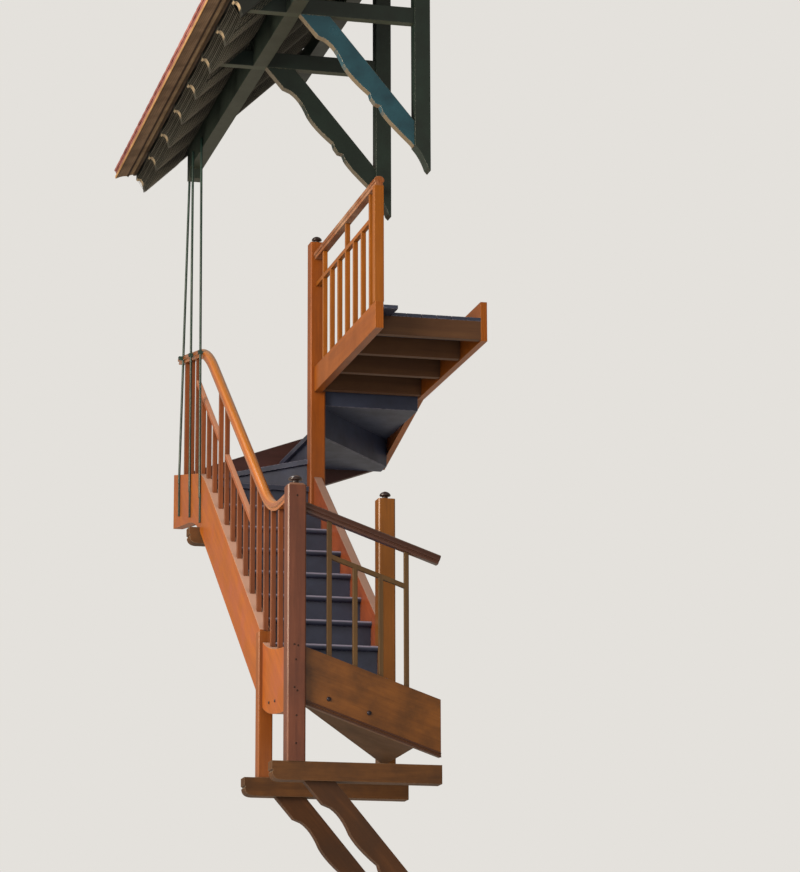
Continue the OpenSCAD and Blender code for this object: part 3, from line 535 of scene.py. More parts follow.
rail_tree, given = new_growth("moulded_rails", Section="Object", Crease="Float", Finish="Material")
line = add(rail_tree, "GeometryNodeMeshToCurve", {"Mesh": given.outputs["Geometry"]})
level = add(rail_tree, "GeometryNodeSetCurveNormal", {"Curve": line.outputs["Curve"]}, mode="Z_UP")
measure = add(rail_tree, "GeometryNodeSplineParameter")
measured = add(rail_tree, "GeometryNodeStoreNamedAttribute", {"Geometry": level.outputs["Curve"],
               "Name": "along", "Value": measure.outputs["Length"]}, data_type="FLOAT", domain="POINT")
held = add(rail_tree, "GeometryNodeObjectInfo", {"Object": given.outputs["Section"]})
outline = add(rail_tree, "GeometryNodeMeshToCurve", {"Mesh": held.outputs["Geometry"]})
spot = add(rail_tree, "GeometryNodeInputPosition")
marked = add(rail_tree, "GeometryNodeStoreNamedAttribute", {"Geometry": outline.outputs["Curve"],
             "Name": "across", "Value": spot.outputs["Position"]}, data_type="FLOAT_VECTOR", domain="POINT")
swept = add(rail_tree, "GeometryNodeCurveToMesh", {"Curve": measured.outputs["Geometry"],
            "Profile Curve": marked.outputs["Geometry"], "Fill Caps": True})
rounded = add(rail_tree, "GeometryNodeSetShadeSmooth", {"Geometry": swept.outputs["Mesh"]}, domain="FACE")
bend_at = add(rail_tree, "GeometryNodeInputMeshEdgeAngle")
sharp = add(rail_tree, "FunctionNodeCompare", {"A": bend_at.outputs["Unsigned Angle"],
            "B": given.outputs["Crease"]}, data_type="FLOAT", operation="GREATER_THAN")
creased = add(rail_tree, "GeometryNodeSetShadeSmooth", {"Geometry": rounded.outputs["Geometry"],
              "Selection": sharp.outputs["Result"], "Shade Smooth": False}, domain="EDGE")
real = add(rail_tree, "GeometryNodeRealizeInstances", {"Geometry": creased.outputs["Geometry"]})
finished = add(rail_tree, "GeometryNodeSetMaterial", {"Geometry": real.outputs["Geometry"],
               "Material": given.outputs["Finish"]})
add(rail_tree, "NodeGroupOutput", {"Geometry": finished.outputs["Geometry"]})


def nose(y):
    """Height of the line of nosings of the straight flight, whose first nosing is at y = 0.715."""
    return 0.834 + (y - 0.715) * rise / going


def bend(a, b, c, count):
    """Points of an easing between two straight runs that meet at b."""
    return [tuple((1 - t) ** 2 * p + 2 * t * (1 - t) * q + t * t * r for p, q, r in zip(a, b, c))
            for t in [i / count for i in range(count + 1)]]


def rail(name, points, finish, node):
    """One moulded handrail along a line of points, in place of its CAD solid."""
    path = mesh_piece(name + "_path", points, [], edges=[(i, i + 1) for i in range(len(points) - 1)])
    rail_section = mesh_piece(name + "_section", [(x, -y, 0) for x, y in section], [],
                              edges=[(i, (i + 1) % len(section)) for i in range(len(section))])
    piece = grow(name, rail_tree, path, Section=rail_section, Crease=0.55, Finish=finish)
    bpy.data.objects.remove(rail_section)
    set_outward(piece)
    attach(piece, "root")
    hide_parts(node)
    return piece


# Fresh varnish that hands have polished, bright orange and glossy, with a painted highlight on its paler
# top and bright arrises
outer_rail_wood = timber("bright_varnished_outer_rail", "bc6a1c", "8a4410", None, "e0a850", arris_share=0.8,
                         stain=0.3, blotch="8c4416", rough=0.22, coat=0.8, top="cf8838", top_share=0.5)
# An older coat, dark brown, with a soft shine
front_rail_wood = timber("dark_varnished_front_rail", "523023", "3a2019", None, "7a5444", arris_share=0.6,
                         rough=0.36, coat=0.5, top="5e4038", top_share=0.5)
# Varnish that flakes, so pale dry wood shows in patches
landing_rail_wood = timber("flaking_varnished_landing_rail", "9c5a2c", "6e3d1e", None, "c7a890", arris_share=1.0,
                           stain=0.9, blotch="b08c74", rough=0.5, coat=0.1)
# The outer rail runs level from the front newel, rakes up over the nosings and eases again at the head
rail_x, level_rail_z, rail_over_nosings = -0.822, 1.569, 0.805
turn_in, turn_out, ease_in, ease_out = 0.6163, 2.6952, 0.26, 0.22
head_y, head_z, head_pitch = 3.6069, 3.2068, 0.18
turn_z = nose(turn_out) + rail_over_nosings
outer_line = [(0.0526, level_rail_z)]
outer_line += bend((turn_in - ease_in, level_rail_z), (turn_in, level_rail_z),
                   (turn_in + ease_in, nose(turn_in + ease_in) + rail_over_nosings), 22)
outer_line += bend((turn_out - ease_out, nose(turn_out - ease_out) + rail_over_nosings), (turn_out, turn_z),
                   (turn_out + ease_out, turn_z + ease_out * head_pitch), 18)
outer_line += [(head_y, head_z)]
rail("moulded_outer_rail", [(rail_x, y, z) for y, z in outer_line], outer_rail_wood, "outer_handrail")
rail("moulded_front_rail", [(front_inner_end, 0, 1.2101), (front_outer_end, 0, 1.4807)], front_rail_wood,
     "front_handrail")
rail("moulded_landing_rail", [(-0.124, 0.8852, 3.695), (-0.124, 2.5568, 3.695)], landing_rail_wood,
     "landing_handrail")

# ---------------------------------------------------------------- balusters and rails between them
# Square redwood bars stand on the strings and are housed under the rails. The outer ones are dark on
# their shaded faces, and the slender front ones have an olive-brown oil finish.

# Varnished redwood, red-brown in shade, with rubbed pale corners
outer_bar_wood = timber("varnished_redwood_outer_bars", "8c4c26", "5c301a", ALONG_Z, "c48a5c", arris_share=0.6,
                        stain=0.35, blotch="4c2c20", coat=0.3)
# Thin oil only, so the wood has dulled to olive brown
front_bar_wood = timber("oiled_front_bars", "6b4f2a", "493520", ALONG_Z, "8a6e48", arris_share=0.5, rough=0.5,
                        coat=0.1, blotch="4a3c2c")
# Newer varnish, a clear orange that is a brighter copy of the bars' colour, painting the sun on them
landing_bar_wood = timber("varnished_redwood_landing_bars", "ac6214", "80480c", ALONG_Z, "d09a58", arris_share=0.6,
                          coat=0.35)
# Scuffed pale along the top by the toes of boots
mid_rail_wood = timber("scuffed_redwood_mid_rails", "a85e34", "7e4220", RAKING, "cc9a78", arris_share=0.8,
                       top="c08e74", top_share=0.7)
# As the bars that it holds, with its grain along the stair
landing_mid_wood = timber("varnished_redwood_landing_mid_rail", "ac6214", "80480c", ALONG_Y, "d09a58",
                          arris_share=0.6, coat=0.35)
dress(outer_bar_wood, "outer_balusters")
dress(front_bar_wood, "front_bars")
dress(landing_bar_wood, "landing_balusters")
dress(mid_rail_wood, "outer_mid_rails")
dress(landing_mid_wood, "landing_mid_rail")

# ---------------------------------------------------------------- iron hanger rods
# Three round iron rods, painted dark green, hang the outer string from the eaves plate. Each ends in a
# long flattened tail, bolted beside to the string, and has a clip where it passes the handrail.

# Green gloss on iron, hardly worn, with a thin bright line of highlight
rod_paint = painted("dark_green_paint_on_iron", "24403a", "182c2a", "5f6b60", arris_share=0.3, rough=0.32)
dress(rod_paint, "hanger_rods")
clip_points, clip_faces = [], []


def block(x0, x1, middle_y, half, z0, z1):
    """Adds a small forged plate with chamfered long arrises to the clips and tails."""
    chamfer = 0.0015
    y0, y1 = middle_y - half, middle_y + half
    ring = [(x0, y0), (x1, y0), (x1, y1), (x0 + chamfer, y1), (x0, y1 - chamfer), (x0, y0 + chamfer)]
    clip_faces.extend(prism(len(ring), len(clip_points)))
    for z in (z0, z1):
        clip_points.extend((x, y, z) for x, y in ring)


# Each rod's place along the stair at its foot and at its head, and the heights where the round of the rod
# and its flattened tail end
rods = ((2.687, 2.754, 2.076, 1.915), (3.047, 3.056, 2.188, 2.021), (3.435, 3.390, 2.325, 2.105))
rod_head_z = 4.500
clip_face = -0.8815
rod_bolts, tail_bolts = [], []
for foot_y, top_y, foot_z, tail_z in rods:
    lean = (top_y - foot_y) / (rod_head_z - foot_z)
    rail_z = head_z - (head_y - foot_y) * head_pitch
    clip_y = foot_y + lean * (rail_z - foot_z)
    block(clip_face, clip_face + 0.028, clip_y, 0.011, rail_z - 0.013, rail_z + 0.009)
    block(outer_face - 0.012, outer_face - 0.0003, foot_y, 0.009, tail_z, foot_z + 0.025)
    rod_bolts.append((clip_face, clip_y, rail_z))
    tail_bolts += [(outer_face - seat_gap, foot_y + 0.016, tail_z + up) for up in (0.050, 0.165)]
clips = mesh_piece("rod_clips_and_tails", clip_points, clip_faces, rod_paint)
set_outward(clips)
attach(clips, "root")
studs("rod_clip_bolts", rod_bolts, (-1, 0, 0), radius=0.006, height=0.004, finish=bolt_iron)
studs("rod_tail_bolts", tail_bolts, (-1, 0, 0), radius=0.008, height=0.005, finish=bolt_iron)

# ---------------------------------------------------------------- canopy frame
# Posts, arms, braces, plates and rafters are softwood in gloss paint, nearly black green but for the
# teal front brace. The paint has gone from the cusped arrises and from the moulded rafter feet.
roof_slope = 0.94896

# Gloss that has kept its shine, green only where light falls on it
green_paint = painted("dark_green_gloss_paint", "1f2e2a", "151f1d", "4c554a", arris_share=0.5, rough=0.35)
arm_paint = painted("dark_green_gloss_arms", "1c2926", "141d1b", "55604f", arris_share=0.5, rough=0.35,
                    underside="3e4738")
# One brace has a newer coat, teal and glossier, and both have lost it along their cusped lower edges
teal_paint = painted("teal_gloss_paint", "27505f", "1b3b49", "b3a68e", arris_share=1.0, rough=0.25,
                     underside="6f6350")
rear_brace_paint = painted("dark_green_gloss_brace", "1e2a27", "151f1d", "a09680", arris_share=1.0, rough=0.3,
                           underside="5e584c")
# Grime and damp turn the undersides of the plates mossy
plate_paint = painted("moss_green_gloss_paint", "2c3630", "1d2724", "5c5c4c", arris_share=0.5, rough=0.4,
                      underside="373e32")
# Always in shade and never cleaned, the rafters are black but for the bare wood of their feet
rafter_paint = painted("dark_green_gloss_rafters", "111816", "0b100f", "343c34", arris_share=0.4, rough=0.5)


def coat_of(material):
    """The tree and the shader of a finished material, and the output that colours it."""
    shader = next(node for node in material.node_tree.nodes if node.type == "BSDF_PRINCIPLED")
    return material.node_tree, shader, shader.inputs["Base Color"].links[0].from_socket


# The bare part of a foot is the upper half of its ogee. It looks down, lies outside X = -1.08, and is more
# than 50 mm above the line of the undersides, which meets X = 0 at Z = 5.414
tree, rafter_shader, rafter_coat = coat_of(rafter_paint)
place = add(tree, "ShaderNodeTexCoord")
where = add(tree, "ShaderNodeSeparateXYZ", {"Vector": place.outputs["Object"]})
over_line = add(tree, "ShaderNodeMath", {0: where.outputs["X"], 1: -roof_slope, 2: where.outputs["Z"]},
                operation="MULTIPLY_ADD")
high_up = add(tree, "ShaderNodeMapRange", {"Value": over_line.outputs["Value"], "From Min": 5.464,
              "From Max": 5.474})
outside = add(tree, "ShaderNodeMath", {0: where.outputs["X"], 1: -1.08}, operation="LESS_THAN")
far_out = add(tree, "ShaderNodeMapRange", {"Value": outside.outputs["Value"],
              "To Max": high_up.outputs["Result"]})
facing = add(tree, "ShaderNodeNewGeometry")
face_parts = add(tree, "ShaderNodeSeparateXYZ", {"Vector": facing.outputs["Normal"]})
downward = add(tree, "ShaderNodeMapRange", {"Value": face_parts.outputs["Z"], "From Min": -0.05,
               "From Max": -0.3})
foot = add(tree, "ShaderNodeMath", {0: far_out.outputs["Result"], 1: downward.outputs["Result"]},
           operation="MULTIPLY")
bared = add(tree, "ShaderNodeMix", {"Factor": foot.outputs["Value"], "A": rafter_coat,
            "B": linear("a69478")}, data_type="RGBA")
tree.links.new(bared.outputs["Result"], rafter_shader.inputs["Base Color"])

dress(green_paint, "wall_posts", "wall_plate")
dress(arm_paint, "canopy_arms")
dress(teal_paint, "front_brace")
dress(rear_brace_paint, "rear_brace")
dress(plate_paint, "eaves_plate")
dress(rafter_paint, "rafters")
# Boards under the tiles, stained black and matt
board_stain = painted("black_stained_boarding", "0c0b0a", "070606", "181614", arris_share=0.2, rough=0.7)
dress(board_stain, "roof_boards")

# ---------------------------------------------------------------- eaves board
# A moulded softwood board closes the eaves. It was never painted, so it has weathered grey-brown. Its
# arrises are pale and warm, a painted highlight, and its two quirks are black, as painted shade.

# It follows the rafter feet, whose line runs askew by the splay about the middle of the roof
foot_x, eaves_width = -1.176, 0.142
roof_middle, roof_splay = 1.8145, 0.018852
eaves_wood = timber("bare_weathered_eaves", "b8a287", "84705a", ALONG_Y, "e0a860", arris_share=1.0,
                    blotch="5c4c3e", rough=0.72, coat=0.0, stain=0.6, corner_shade="120d0a")
tree, eaves_shader, plain = coat_of(eaves_wood)
place = add(tree, "ShaderNodeTexCoord")
spot = add(tree, "ShaderNodeSeparateXYZ", {"Vector": place.outputs["Object"]})
# Distance out from the line of the rafter feet, as a share of the width of the board
from_feet = add(tree, "ShaderNodeMath", {0: spot.outputs["Y"], 1: roof_splay,
                2: foot_x - roof_middle * roof_splay}, operation="MULTIPLY_ADD")
outward_by = add(tree, "ShaderNodeMath", {0: from_feet.outputs["Value"], 1: spot.outputs["X"]},
                 operation="SUBTRACT")
share = add(tree, "ShaderNodeMath", {0: outward_by.outputs["Value"], 1: eaves_width}, operation="DIVIDE")
# Linear tints of the bands, which paint the moulding's light and shade: the shaded inner cove, its lit
# pale fillet, the black shade in the quirk, the broad bead, the shade under the lip and the warm-lit lip
bands = add(tree, "ShaderNodeValToRGB", {"Fac": share.outputs["Value"]})
stops = ((0.00, (0.30, 0.27, 0.24)), (0.12, (0.12, 0.10, 0.09)), (0.17, (0.95, 0.90, 0.82)),
         (0.34, (0.80, 0.72, 0.62)), (0.38, (0.08, 0.06, 0.05)), (0.43, (0.10, 0.08, 0.07)),
         (0.46, (0.66, 0.58, 0.54)), (0.90, (0.56, 0.49, 0.45)), (0.94, (0.16, 0.12, 0.10)),
         (0.97, (1.00, 0.82, 0.56)))
while len(bands.color_ramp.elements) < len(stops):
    bands.color_ramp.elements.new(1.0)
for element, (at, tint) in zip(bands.color_ramp.elements, stops):
    element.position = at
    element.color = tint + (1.0,)
banded = add(tree, "ShaderNodeMix", {"Factor": 1.0, "A": plain, "B": bands.outputs["Color"]},
             data_type="RGBA", blend_type="MULTIPLY")
tree.links.new(banded.outputs["Result"], eaves_shader.inputs["Base Color"])
dress(eaves_wood, "eaves_board")

# ---------------------------------------------------------------- roof tiles
# Plain clay tiles hang in eighteen full courses over the boarding, with a short course under the first
# and half tiles at alternate ends. They are handmade, so each is a little turned, cambered and toned.
roof_front, roof_length = -0.072, 3.773
tile_long, tile_thick, tile_joint, tiles_across = 0.265, 0.012, 0.003, 23
tile_pitch = roof_length / tiles_across

# Sand-faced red clay, matt, each tile fired to its own tone and smoked in patches 80 mm across
clay, tree = new_material("sandfaced_clay_tile")
place = add(tree, "ShaderNodeTexCoord")
each = add(tree, "ShaderNodeAttribute", attribute_name="tile_tone")
fired = add(tree, "ShaderNodeMix", {"Factor": each.outputs["Fac"], "A": linear("7a4542"),
            "B": linear("9c645f")}, data_type="RGBA")
smoke = add(tree, "ShaderNodeTexNoise", {"Vector": place.outputs["Object"], "Scale": 12.0, "Detail": 6.0,
            "Roughness": 0.65})
smoked = add(tree, "ShaderNodeMapRange", {"Value": smoke.outputs["Fac"], "From Min": 0.45,
             "From Max": 0.75, "To Max": 0.55})
mottled = add(tree, "ShaderNodeMix", {"Factor": smoked.outputs["Result"], "A": fired.outputs["Result"],
              "B": linear("704448")}, data_type="RGBA")
# Sand facing in grains 2.4 mm across, coarser than real ones so that they show
sand = add(tree, "ShaderNodeTexNoise", {"Vector": place.outputs["Object"], "Scale": 420.0, "Detail": 3.0})
sanded = add(tree, "ShaderNodeBump", {"Height": sand.outputs["Fac"], "Strength": 0.35, "Distance": 0.0012})
clay_shader = add(tree, "ShaderNodeBsdfPrincipled", {"Base Color": mottled.outputs["Result"],
                  "Roughness": 0.85, "Normal": sanded.outputs["Normal"]})
add(tree, "ShaderNodeOutputMaterial", {"Surface": clay_shader.outputs["BSDF"]})

# One tile is a grid of four points up its length and five across, cambered both ways
camber_long, camber_across = 0.004, 0.002
rows, across = 4, 5
layer = rows * across
tile_points, tile_faces = [], []
for base_z in (tile_thick, 0.0):
    for i in range(rows):
        for j in range(across):
            u, v = i / (rows - 1), j / (across - 1)
            camber = camber_long * (1 - (2 * u - 1) ** 2) + camber_across * (1 - (2 * v - 1) ** 2)
            tile_points.append((u * tile_long, (v - 0.5) * (tile_pitch - tile_joint), base_z + camber))
for i in range(rows - 1):
    for j in range(across - 1):
        a = i * across + j
        b = a + across
        tile_faces += [(a, b, b + 1, a + 1), (layer + a, layer + a + 1, layer + b + 1, layer + b)]
edge_loop = [j for j in range(across)] + [i * across + across - 1 for i in range(1, rows)]
edge_loop += [layer - across + j for j in range(across - 2, -1, -1)]
edge_loop += [i * across for i in range(rows - 2, 0, -1)]
tile_faces += [(p, q, q + layer, p + layer) for p, q in zip(edge_loop, edge_loop[1:] + edge_loop[:1])]

tile_tree, given = new_growth("tile_courses", Tile="Object", Long="Float", Courses="Int", Columns="Int",
                              Pitch="Float", Front="Float", Lift="Float", Drop="Float", Short="Float",
                              Overlap="Float", Splay="Float", Middle="Float", Slope="Float", Seed="Int",
                              Finish="Material")
slope_line = add(tile_tree, "GeometryNodeMeshToCurve", {"Mesh": given.outputs["Geometry"]})
slope_size = add(tile_tree, "GeometryNodeCurveLength", {"Curve": slope_line.outputs["Curve"]})
in_row = add(tile_tree, "ShaderNodeMath", {0: given.outputs["Columns"], 1: 1.0}, operation="ADD")
in_all = add(tile_tree, "ShaderNodeMath", {0: given.outputs["Courses"], 1: in_row.outputs["Value"]},
             operation="MULTIPLY")
spots = add(tile_tree, "GeometryNodePoints", {"Count": in_all.outputs["Value"]})
index = add(tile_tree, "GeometryNodeInputIndex")
ratio = add(tile_tree, "ShaderNodeMath", {0: index.outputs["Index"], 1: in_row.outputs["Value"]},
            operation="DIVIDE")
course = add(tile_tree, "ShaderNodeMath", {0: ratio.outputs["Value"]}, operation="FLOOR")
column = add(tile_tree, "ShaderNodeMath", {0: index.outputs["Index"], 1: in_row.outputs["Value"]},
             operation="MODULO")
# The under-eaves course is the first one, and shares its tail line with the next
above = add(tile_tree, "ShaderNodeMath", {0: course.outputs["Value"], 1: 1.0}, operation="SUBTRACT")
rank = add(tile_tree, "ShaderNodeMath", {0: above.outputs["Value"], 1: 0.0}, operation="MAXIMUM")
full_courses = add(tile_tree, "ShaderNodeMath", {0: given.outputs["Courses"], 1: 1.0}, operation="SUBTRACT")
gauge = add(tile_tree, "ShaderNodeMath", {0: slope_size.outputs["Length"],
            1: full_courses.outputs["Value"]}, operation="DIVIDE")
tail = add(tile_tree, "ShaderNodeMath", {0: rank.outputs["Value"], 1: gauge.outputs["Value"]},
           operation="MULTIPLY")
on_line = add(tile_tree, "GeometryNodeSampleCurve", {"Curves": slope_line.outputs["Curve"],
              "Length": tail.outputs["Value"]}, mode="LENGTH")
# Alternate courses start half a tile back, and the ends are cut to half tiles
odd = add(tile_tree, "ShaderNodeMath", {0: course.outputs["Value"], 1: 2.0}, operation="MODULO")
half_back = add(tile_tree, "ShaderNodeMath", {0: odd.outputs["Value"], 1: -0.5, 2: column.outputs["Value"]},
                operation="MULTIPLY_ADD")
near_edge = add(tile_tree, "ShaderNodeClamp", {"Value": half_back.outputs["Value"],
                "Max": given.outputs["Columns"]})
next_edge = add(tile_tree, "ShaderNodeMath", {0: half_back.outputs["Value"], 1: 1.0}, operation="ADD")
far_edge = add(tile_tree, "ShaderNodeClamp", {"Value": next_edge.outputs["Value"],
               "Max": given.outputs["Columns"]})
tile_share = add(tile_tree, "ShaderNodeMath", {0: far_edge.outputs["Result"],
                 1: near_edge.outputs["Result"]}, operation="SUBTRACT")
edge_sum = add(tile_tree, "ShaderNodeMath", {0: far_edge.outputs["Result"],
               1: near_edge.outputs["Result"]}, operation="ADD")
half_pitch = add(tile_tree, "ShaderNodeMath", {0: given.outputs["Pitch"], 1: 0.5}, operation="MULTIPLY")
tile_y = add(tile_tree, "ShaderNodeMath", {0: edge_sum.outputs["Value"], 1: half_pitch.outputs["Value"],
             2: given.outputs["Front"]}, operation="MULTIPLY_ADD")
# The eaves run a little askew to the top edge, so the courses fan out from it
done = add(tile_tree, "ShaderNodeMath", {0: tail.outputs["Value"], 1: slope_size.outputs["Length"]},
           operation="DIVIDE")
left_over = add(tile_tree, "ShaderNodeMath", {0: 1.0, 1: done.outputs["Value"]}, operation="SUBTRACT")
from_middle = add(tile_tree, "ShaderNodeMath", {0: tile_y.outputs["Value"], 1: given.outputs["Middle"]},
                  operation="SUBTRACT")
fan = add(tile_tree, "ShaderNodeMath", {0: from_middle.outputs["Value"], 1: given.outputs["Splay"]},
          operation="MULTIPLY")
shift_x = add(tile_tree, "ShaderNodeMath", {0: fan.outputs["Value"], 1: left_over.outputs["Value"]},
              operation="MULTIPLY")
shift_z = add(tile_tree, "ShaderNodeMath", {0: shift_x.outputs["Value"], 1: given.outputs["Slope"]},
              operation="MULTIPLY")
shift = add(tile_tree, "ShaderNodeCombineXYZ", {"X": shift_x.outputs["Value"], "Y": tile_y.outputs["Value"],
            "Z": shift_z.outputs["Value"]})
seat = add(tile_tree, "ShaderNodeVectorMath", {0: on_line.outputs["Position"], 1: shift.outputs["Vector"]},
           operation="ADD")
# A tile lies along the chord from its tail to its head, which matters where the line bends
head_at = add(tile_tree, "ShaderNodeMath", {0: tail.outputs["Value"], 1: given.outputs["Long"]},
              operation="ADD")
further = add(tile_tree, "GeometryNodeSampleCurve", {"Curves": slope_line.outputs["Curve"],
              "Length": head_at.outputs["Value"]}, mode="LENGTH")
chord = add(tile_tree, "ShaderNodeVectorMath", {0: further.outputs["Position"],
            1: on_line.outputs["Position"]}, operation="SUBTRACT")
chord_unit = add(tile_tree, "ShaderNodeVectorMath", {0: chord.outputs["Vector"]}, operation="NORMALIZE")
lean = add(tile_tree, "ShaderNodeSeparateXYZ", {"Vector": chord_unit.outputs["Vector"]})
steep = add(tile_tree, "ShaderNodeMath", {0: lean.outputs["Z"], 1: lean.outputs["X"]},
            operation="ARCTAN2")
kick = add(tile_tree, "ShaderNodeMath", {0: given.outputs["Lift"], 1: given.outputs["Long"]},
           operation="DIVIDE")
laid = add(tile_tree, "ShaderNodeMath", {0: kick.outputs["Value"], 1: steep.outputs["Value"]},
           operation="SUBTRACT")
# No two tiles lie quite alike: each is turned by up to half a degree
shake = add(tile_tree, "FunctionNodeRandomValue", {0: (-0.006, -0.002, -0.009), 1: (0.006, 0.004, 0.009),
            "Seed": given.outputs["Seed"]}, data_type="FLOAT_VECTOR")
straight = add(tile_tree, "ShaderNodeCombineXYZ", {"Y": laid.outputs["Value"]})
shaken = add(tile_tree, "ShaderNodeVectorMath", {0: straight.outputs["Vector"], 1: shake.outputs["Value"]},
             operation="ADD")
# Full tiles are lifted off the boards by the two below them, and the under-eaves ones lie lower
first = add(tile_tree, "ShaderNodeMath", {0: course.outputs["Value"], 1: 0.5}, operation="LESS_THAN")
lowered = add(tile_tree, "ShaderNodeMath", {0: first.outputs["Value"], 1: given.outputs["Drop"]},
              operation="MULTIPLY")
low_lift = add(tile_tree, "ShaderNodeMath", {0: given.outputs["Lift"], 1: lowered.outputs["Value"]},
               operation="SUBTRACT")
normal_x = add(tile_tree, "ShaderNodeMath", {0: lean.outputs["Z"], 1: -1.0}, operation="MULTIPLY")
up_slope = add(tile_tree, "ShaderNodeCombineXYZ", {"X": normal_x.outputs["Value"], "Z": lean.outputs["X"]})
raised = add(tile_tree, "ShaderNodeVectorMath", {0: up_slope.outputs["Vector"],
             "Scale": low_lift.outputs["Value"]}, operation="SCALE")
lifted = add(tile_tree, "ShaderNodeVectorMath", {0: seat.outputs["Vector"], 1: raised.outputs["Vector"]},
             operation="ADD")
set_down = add(tile_tree, "GeometryNodeSetPosition", {"Geometry": spots.outputs["Points"],
               "Position": lifted.outputs["Vector"]})
# The top courses are cut to the room that is left, and the under-eaves one is cut short
room = add(tile_tree, "ShaderNodeMath", {0: slope_size.outputs["Length"], 1: tail.outputs["Value"]},
           operation="SUBTRACT")
room_used = add(tile_tree, "ShaderNodeMath", {0: room.outputs["Value"], 1: given.outputs["Overlap"]},
                operation="MULTIPLY")
room_share = add(tile_tree, "ShaderNodeMath", {0: room_used.outputs["Value"], 1: given.outputs["Long"]},
                 operation="DIVIDE")
cut_top = add(tile_tree, "ShaderNodeMath", {0: room_share.outputs["Value"], 1: 1.0}, operation="MINIMUM")
cut_off = add(tile_tree, "ShaderNodeMath", {0: first.outputs["Value"], 1: given.outputs["Short"]},
              operation="MULTIPLY")
short_share = add(tile_tree, "ShaderNodeMath", {0: cut_top.outputs["Value"], 1: cut_off.outputs["Value"]},
                  operation="SUBTRACT")
tile_size = add(tile_tree, "ShaderNodeCombineXYZ", {"X": short_share.outputs["Value"],
                "Y": tile_share.outputs["Value"], "Z": 1.0})
there = add(tile_tree, "FunctionNodeCompare", {"A": tile_share.outputs["Value"], "B": 0.1},
            data_type="FLOAT", operation="GREATER_THAN")
one_tile = add(tile_tree, "GeometryNodeObjectInfo", {"Object": given.outputs["Tile"]})
tiles = add(tile_tree, "GeometryNodeInstanceOnPoints", {"Points": set_down.outputs["Geometry"],
            "Selection": there.outputs["Result"], "Instance": one_tile.outputs["Geometry"],
            "Rotation": shaken.outputs["Vector"], "Scale": tile_size.outputs["Vector"]})
tone = add(tile_tree, "FunctionNodeRandomValue", {"Seed": given.outputs["Seed"]}, data_type="FLOAT")
toned = add(tile_tree, "GeometryNodeStoreNamedAttribute", {"Geometry": tiles.outputs["Instances"],
            "Name": "tile_tone", "Value": tone.outputs[1]}, data_type="FLOAT", domain="INSTANCE")
real = add(tile_tree, "GeometryNodeRealizeInstances", {"Geometry": toned.outputs["Geometry"]})
finished = add(tile_tree, "GeometryNodeSetMaterial", {"Geometry": real.outputs["Geometry"],
               "Material": given.outputs["Finish"]})
add(tile_tree, "NodeGroupOutput", {"Geometry": finished.outputs["Geometry"]})

tile = mesh_piece("one_tile", tile_points, tile_faces)
set_outward(tile)
# The slope from the lip over the tilted first course to the top edge, at the middle of the roof
roof_line = mesh_piece("roof_line", [(-1.305, 0, 4.4733), (-1.196, 0, 4.5250), (-0.0065, 0, 5.6535)], [],
                       edges=[(0, 1), (1, 2)])
roof = grow("clay_roof_tiles", tile_tree, roof_line, Tile=tile, Long=tile_long, Courses=19,
            Columns=tiles_across, Pitch=tile_pitch, Front=roof_front, Lift=2 * tile_thick, Drop=0.016,
            Short=0.38, Overlap=0.97, Splay=roof_splay, Middle=roof_middle, Slope=roof_slope, Seed=7,
            Finish=clay)
bpy.data.objects.remove(tile)
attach(roof, "root")
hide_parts("roof_tiles")

# ---------------------------------------------------------------- bird netting
# A pale net keeps birds off the rafters. It is stapled to their undersides and hangs a little between
# them. Its mesh is drawn at 34 mm with 2 mm threads, a little coarser than the real one.
mesh_size, thread_radius, sag = 0.034, 0.0010, 0.012
first_rafter, rafter_bay = -0.030, 0.527

# Twisted nylon cord, once pale, now grey with dust and matt
net_cord, tree = new_material("pale_grey_net_cord")
place = add(tree, "ShaderNodeTexCoord")
dusty = add(tree, "ShaderNodeTexNoise", {"Vector": place.outputs["Object"], "Scale": 30.0, "Detail": 3.0})
cord_tone = add(tree, "ShaderNodeMix", {"Factor": dusty.outputs["Fac"], "A": linear("66635a"),
                "B": linear("5c5a50")}, data_type="RGBA")
cord_shader = add(tree, "ShaderNodeBsdfPrincipled", {"Base Color": cord_tone.outputs["Result"],
                  "Roughness": 0.7})
add(tree, "ShaderNodeOutputMaterial", {"Surface": cord_shader.outputs["BSDF"]})

net_tree, given = new_growth("stapled_net", Mesh="Float", Strands="Int", Slope="Float", Fan="Float",
                             Fan_Slope="Float", Middle="Float", Thread="Float", Sag="Float",
                             First="Float", Bay="Float", Finish="Material")
bounds = add(net_tree, "GeometryNodeBoundBox", {"Geometry": given.outputs["Geometry"]})
spread = add(net_tree, "ShaderNodeVectorMath", {0: bounds.outputs["Max"], 1: bounds.outputs["Min"]},
             operation="SUBTRACT")
middle = add(net_tree, "ShaderNodeMix", {"Factor": 0.5, "A": bounds.outputs["Min"],
             "B": bounds.outputs["Max"]}, data_type="VECTOR")
extent = add(net_tree, "ShaderNodeSeparateXYZ", {"Vector": spread.outputs["Vector"]})
across_count = add(net_tree, "ShaderNodeMath", {0: extent.outputs["Y"], 1: given.outputs["Mesh"]},
                   operation="DIVIDE")
bay_count = add(net_tree, "ShaderNodeMath", {0: extent.outputs["Y"], 1: given.outputs["Bay"]},
                operation="DIVIDE")
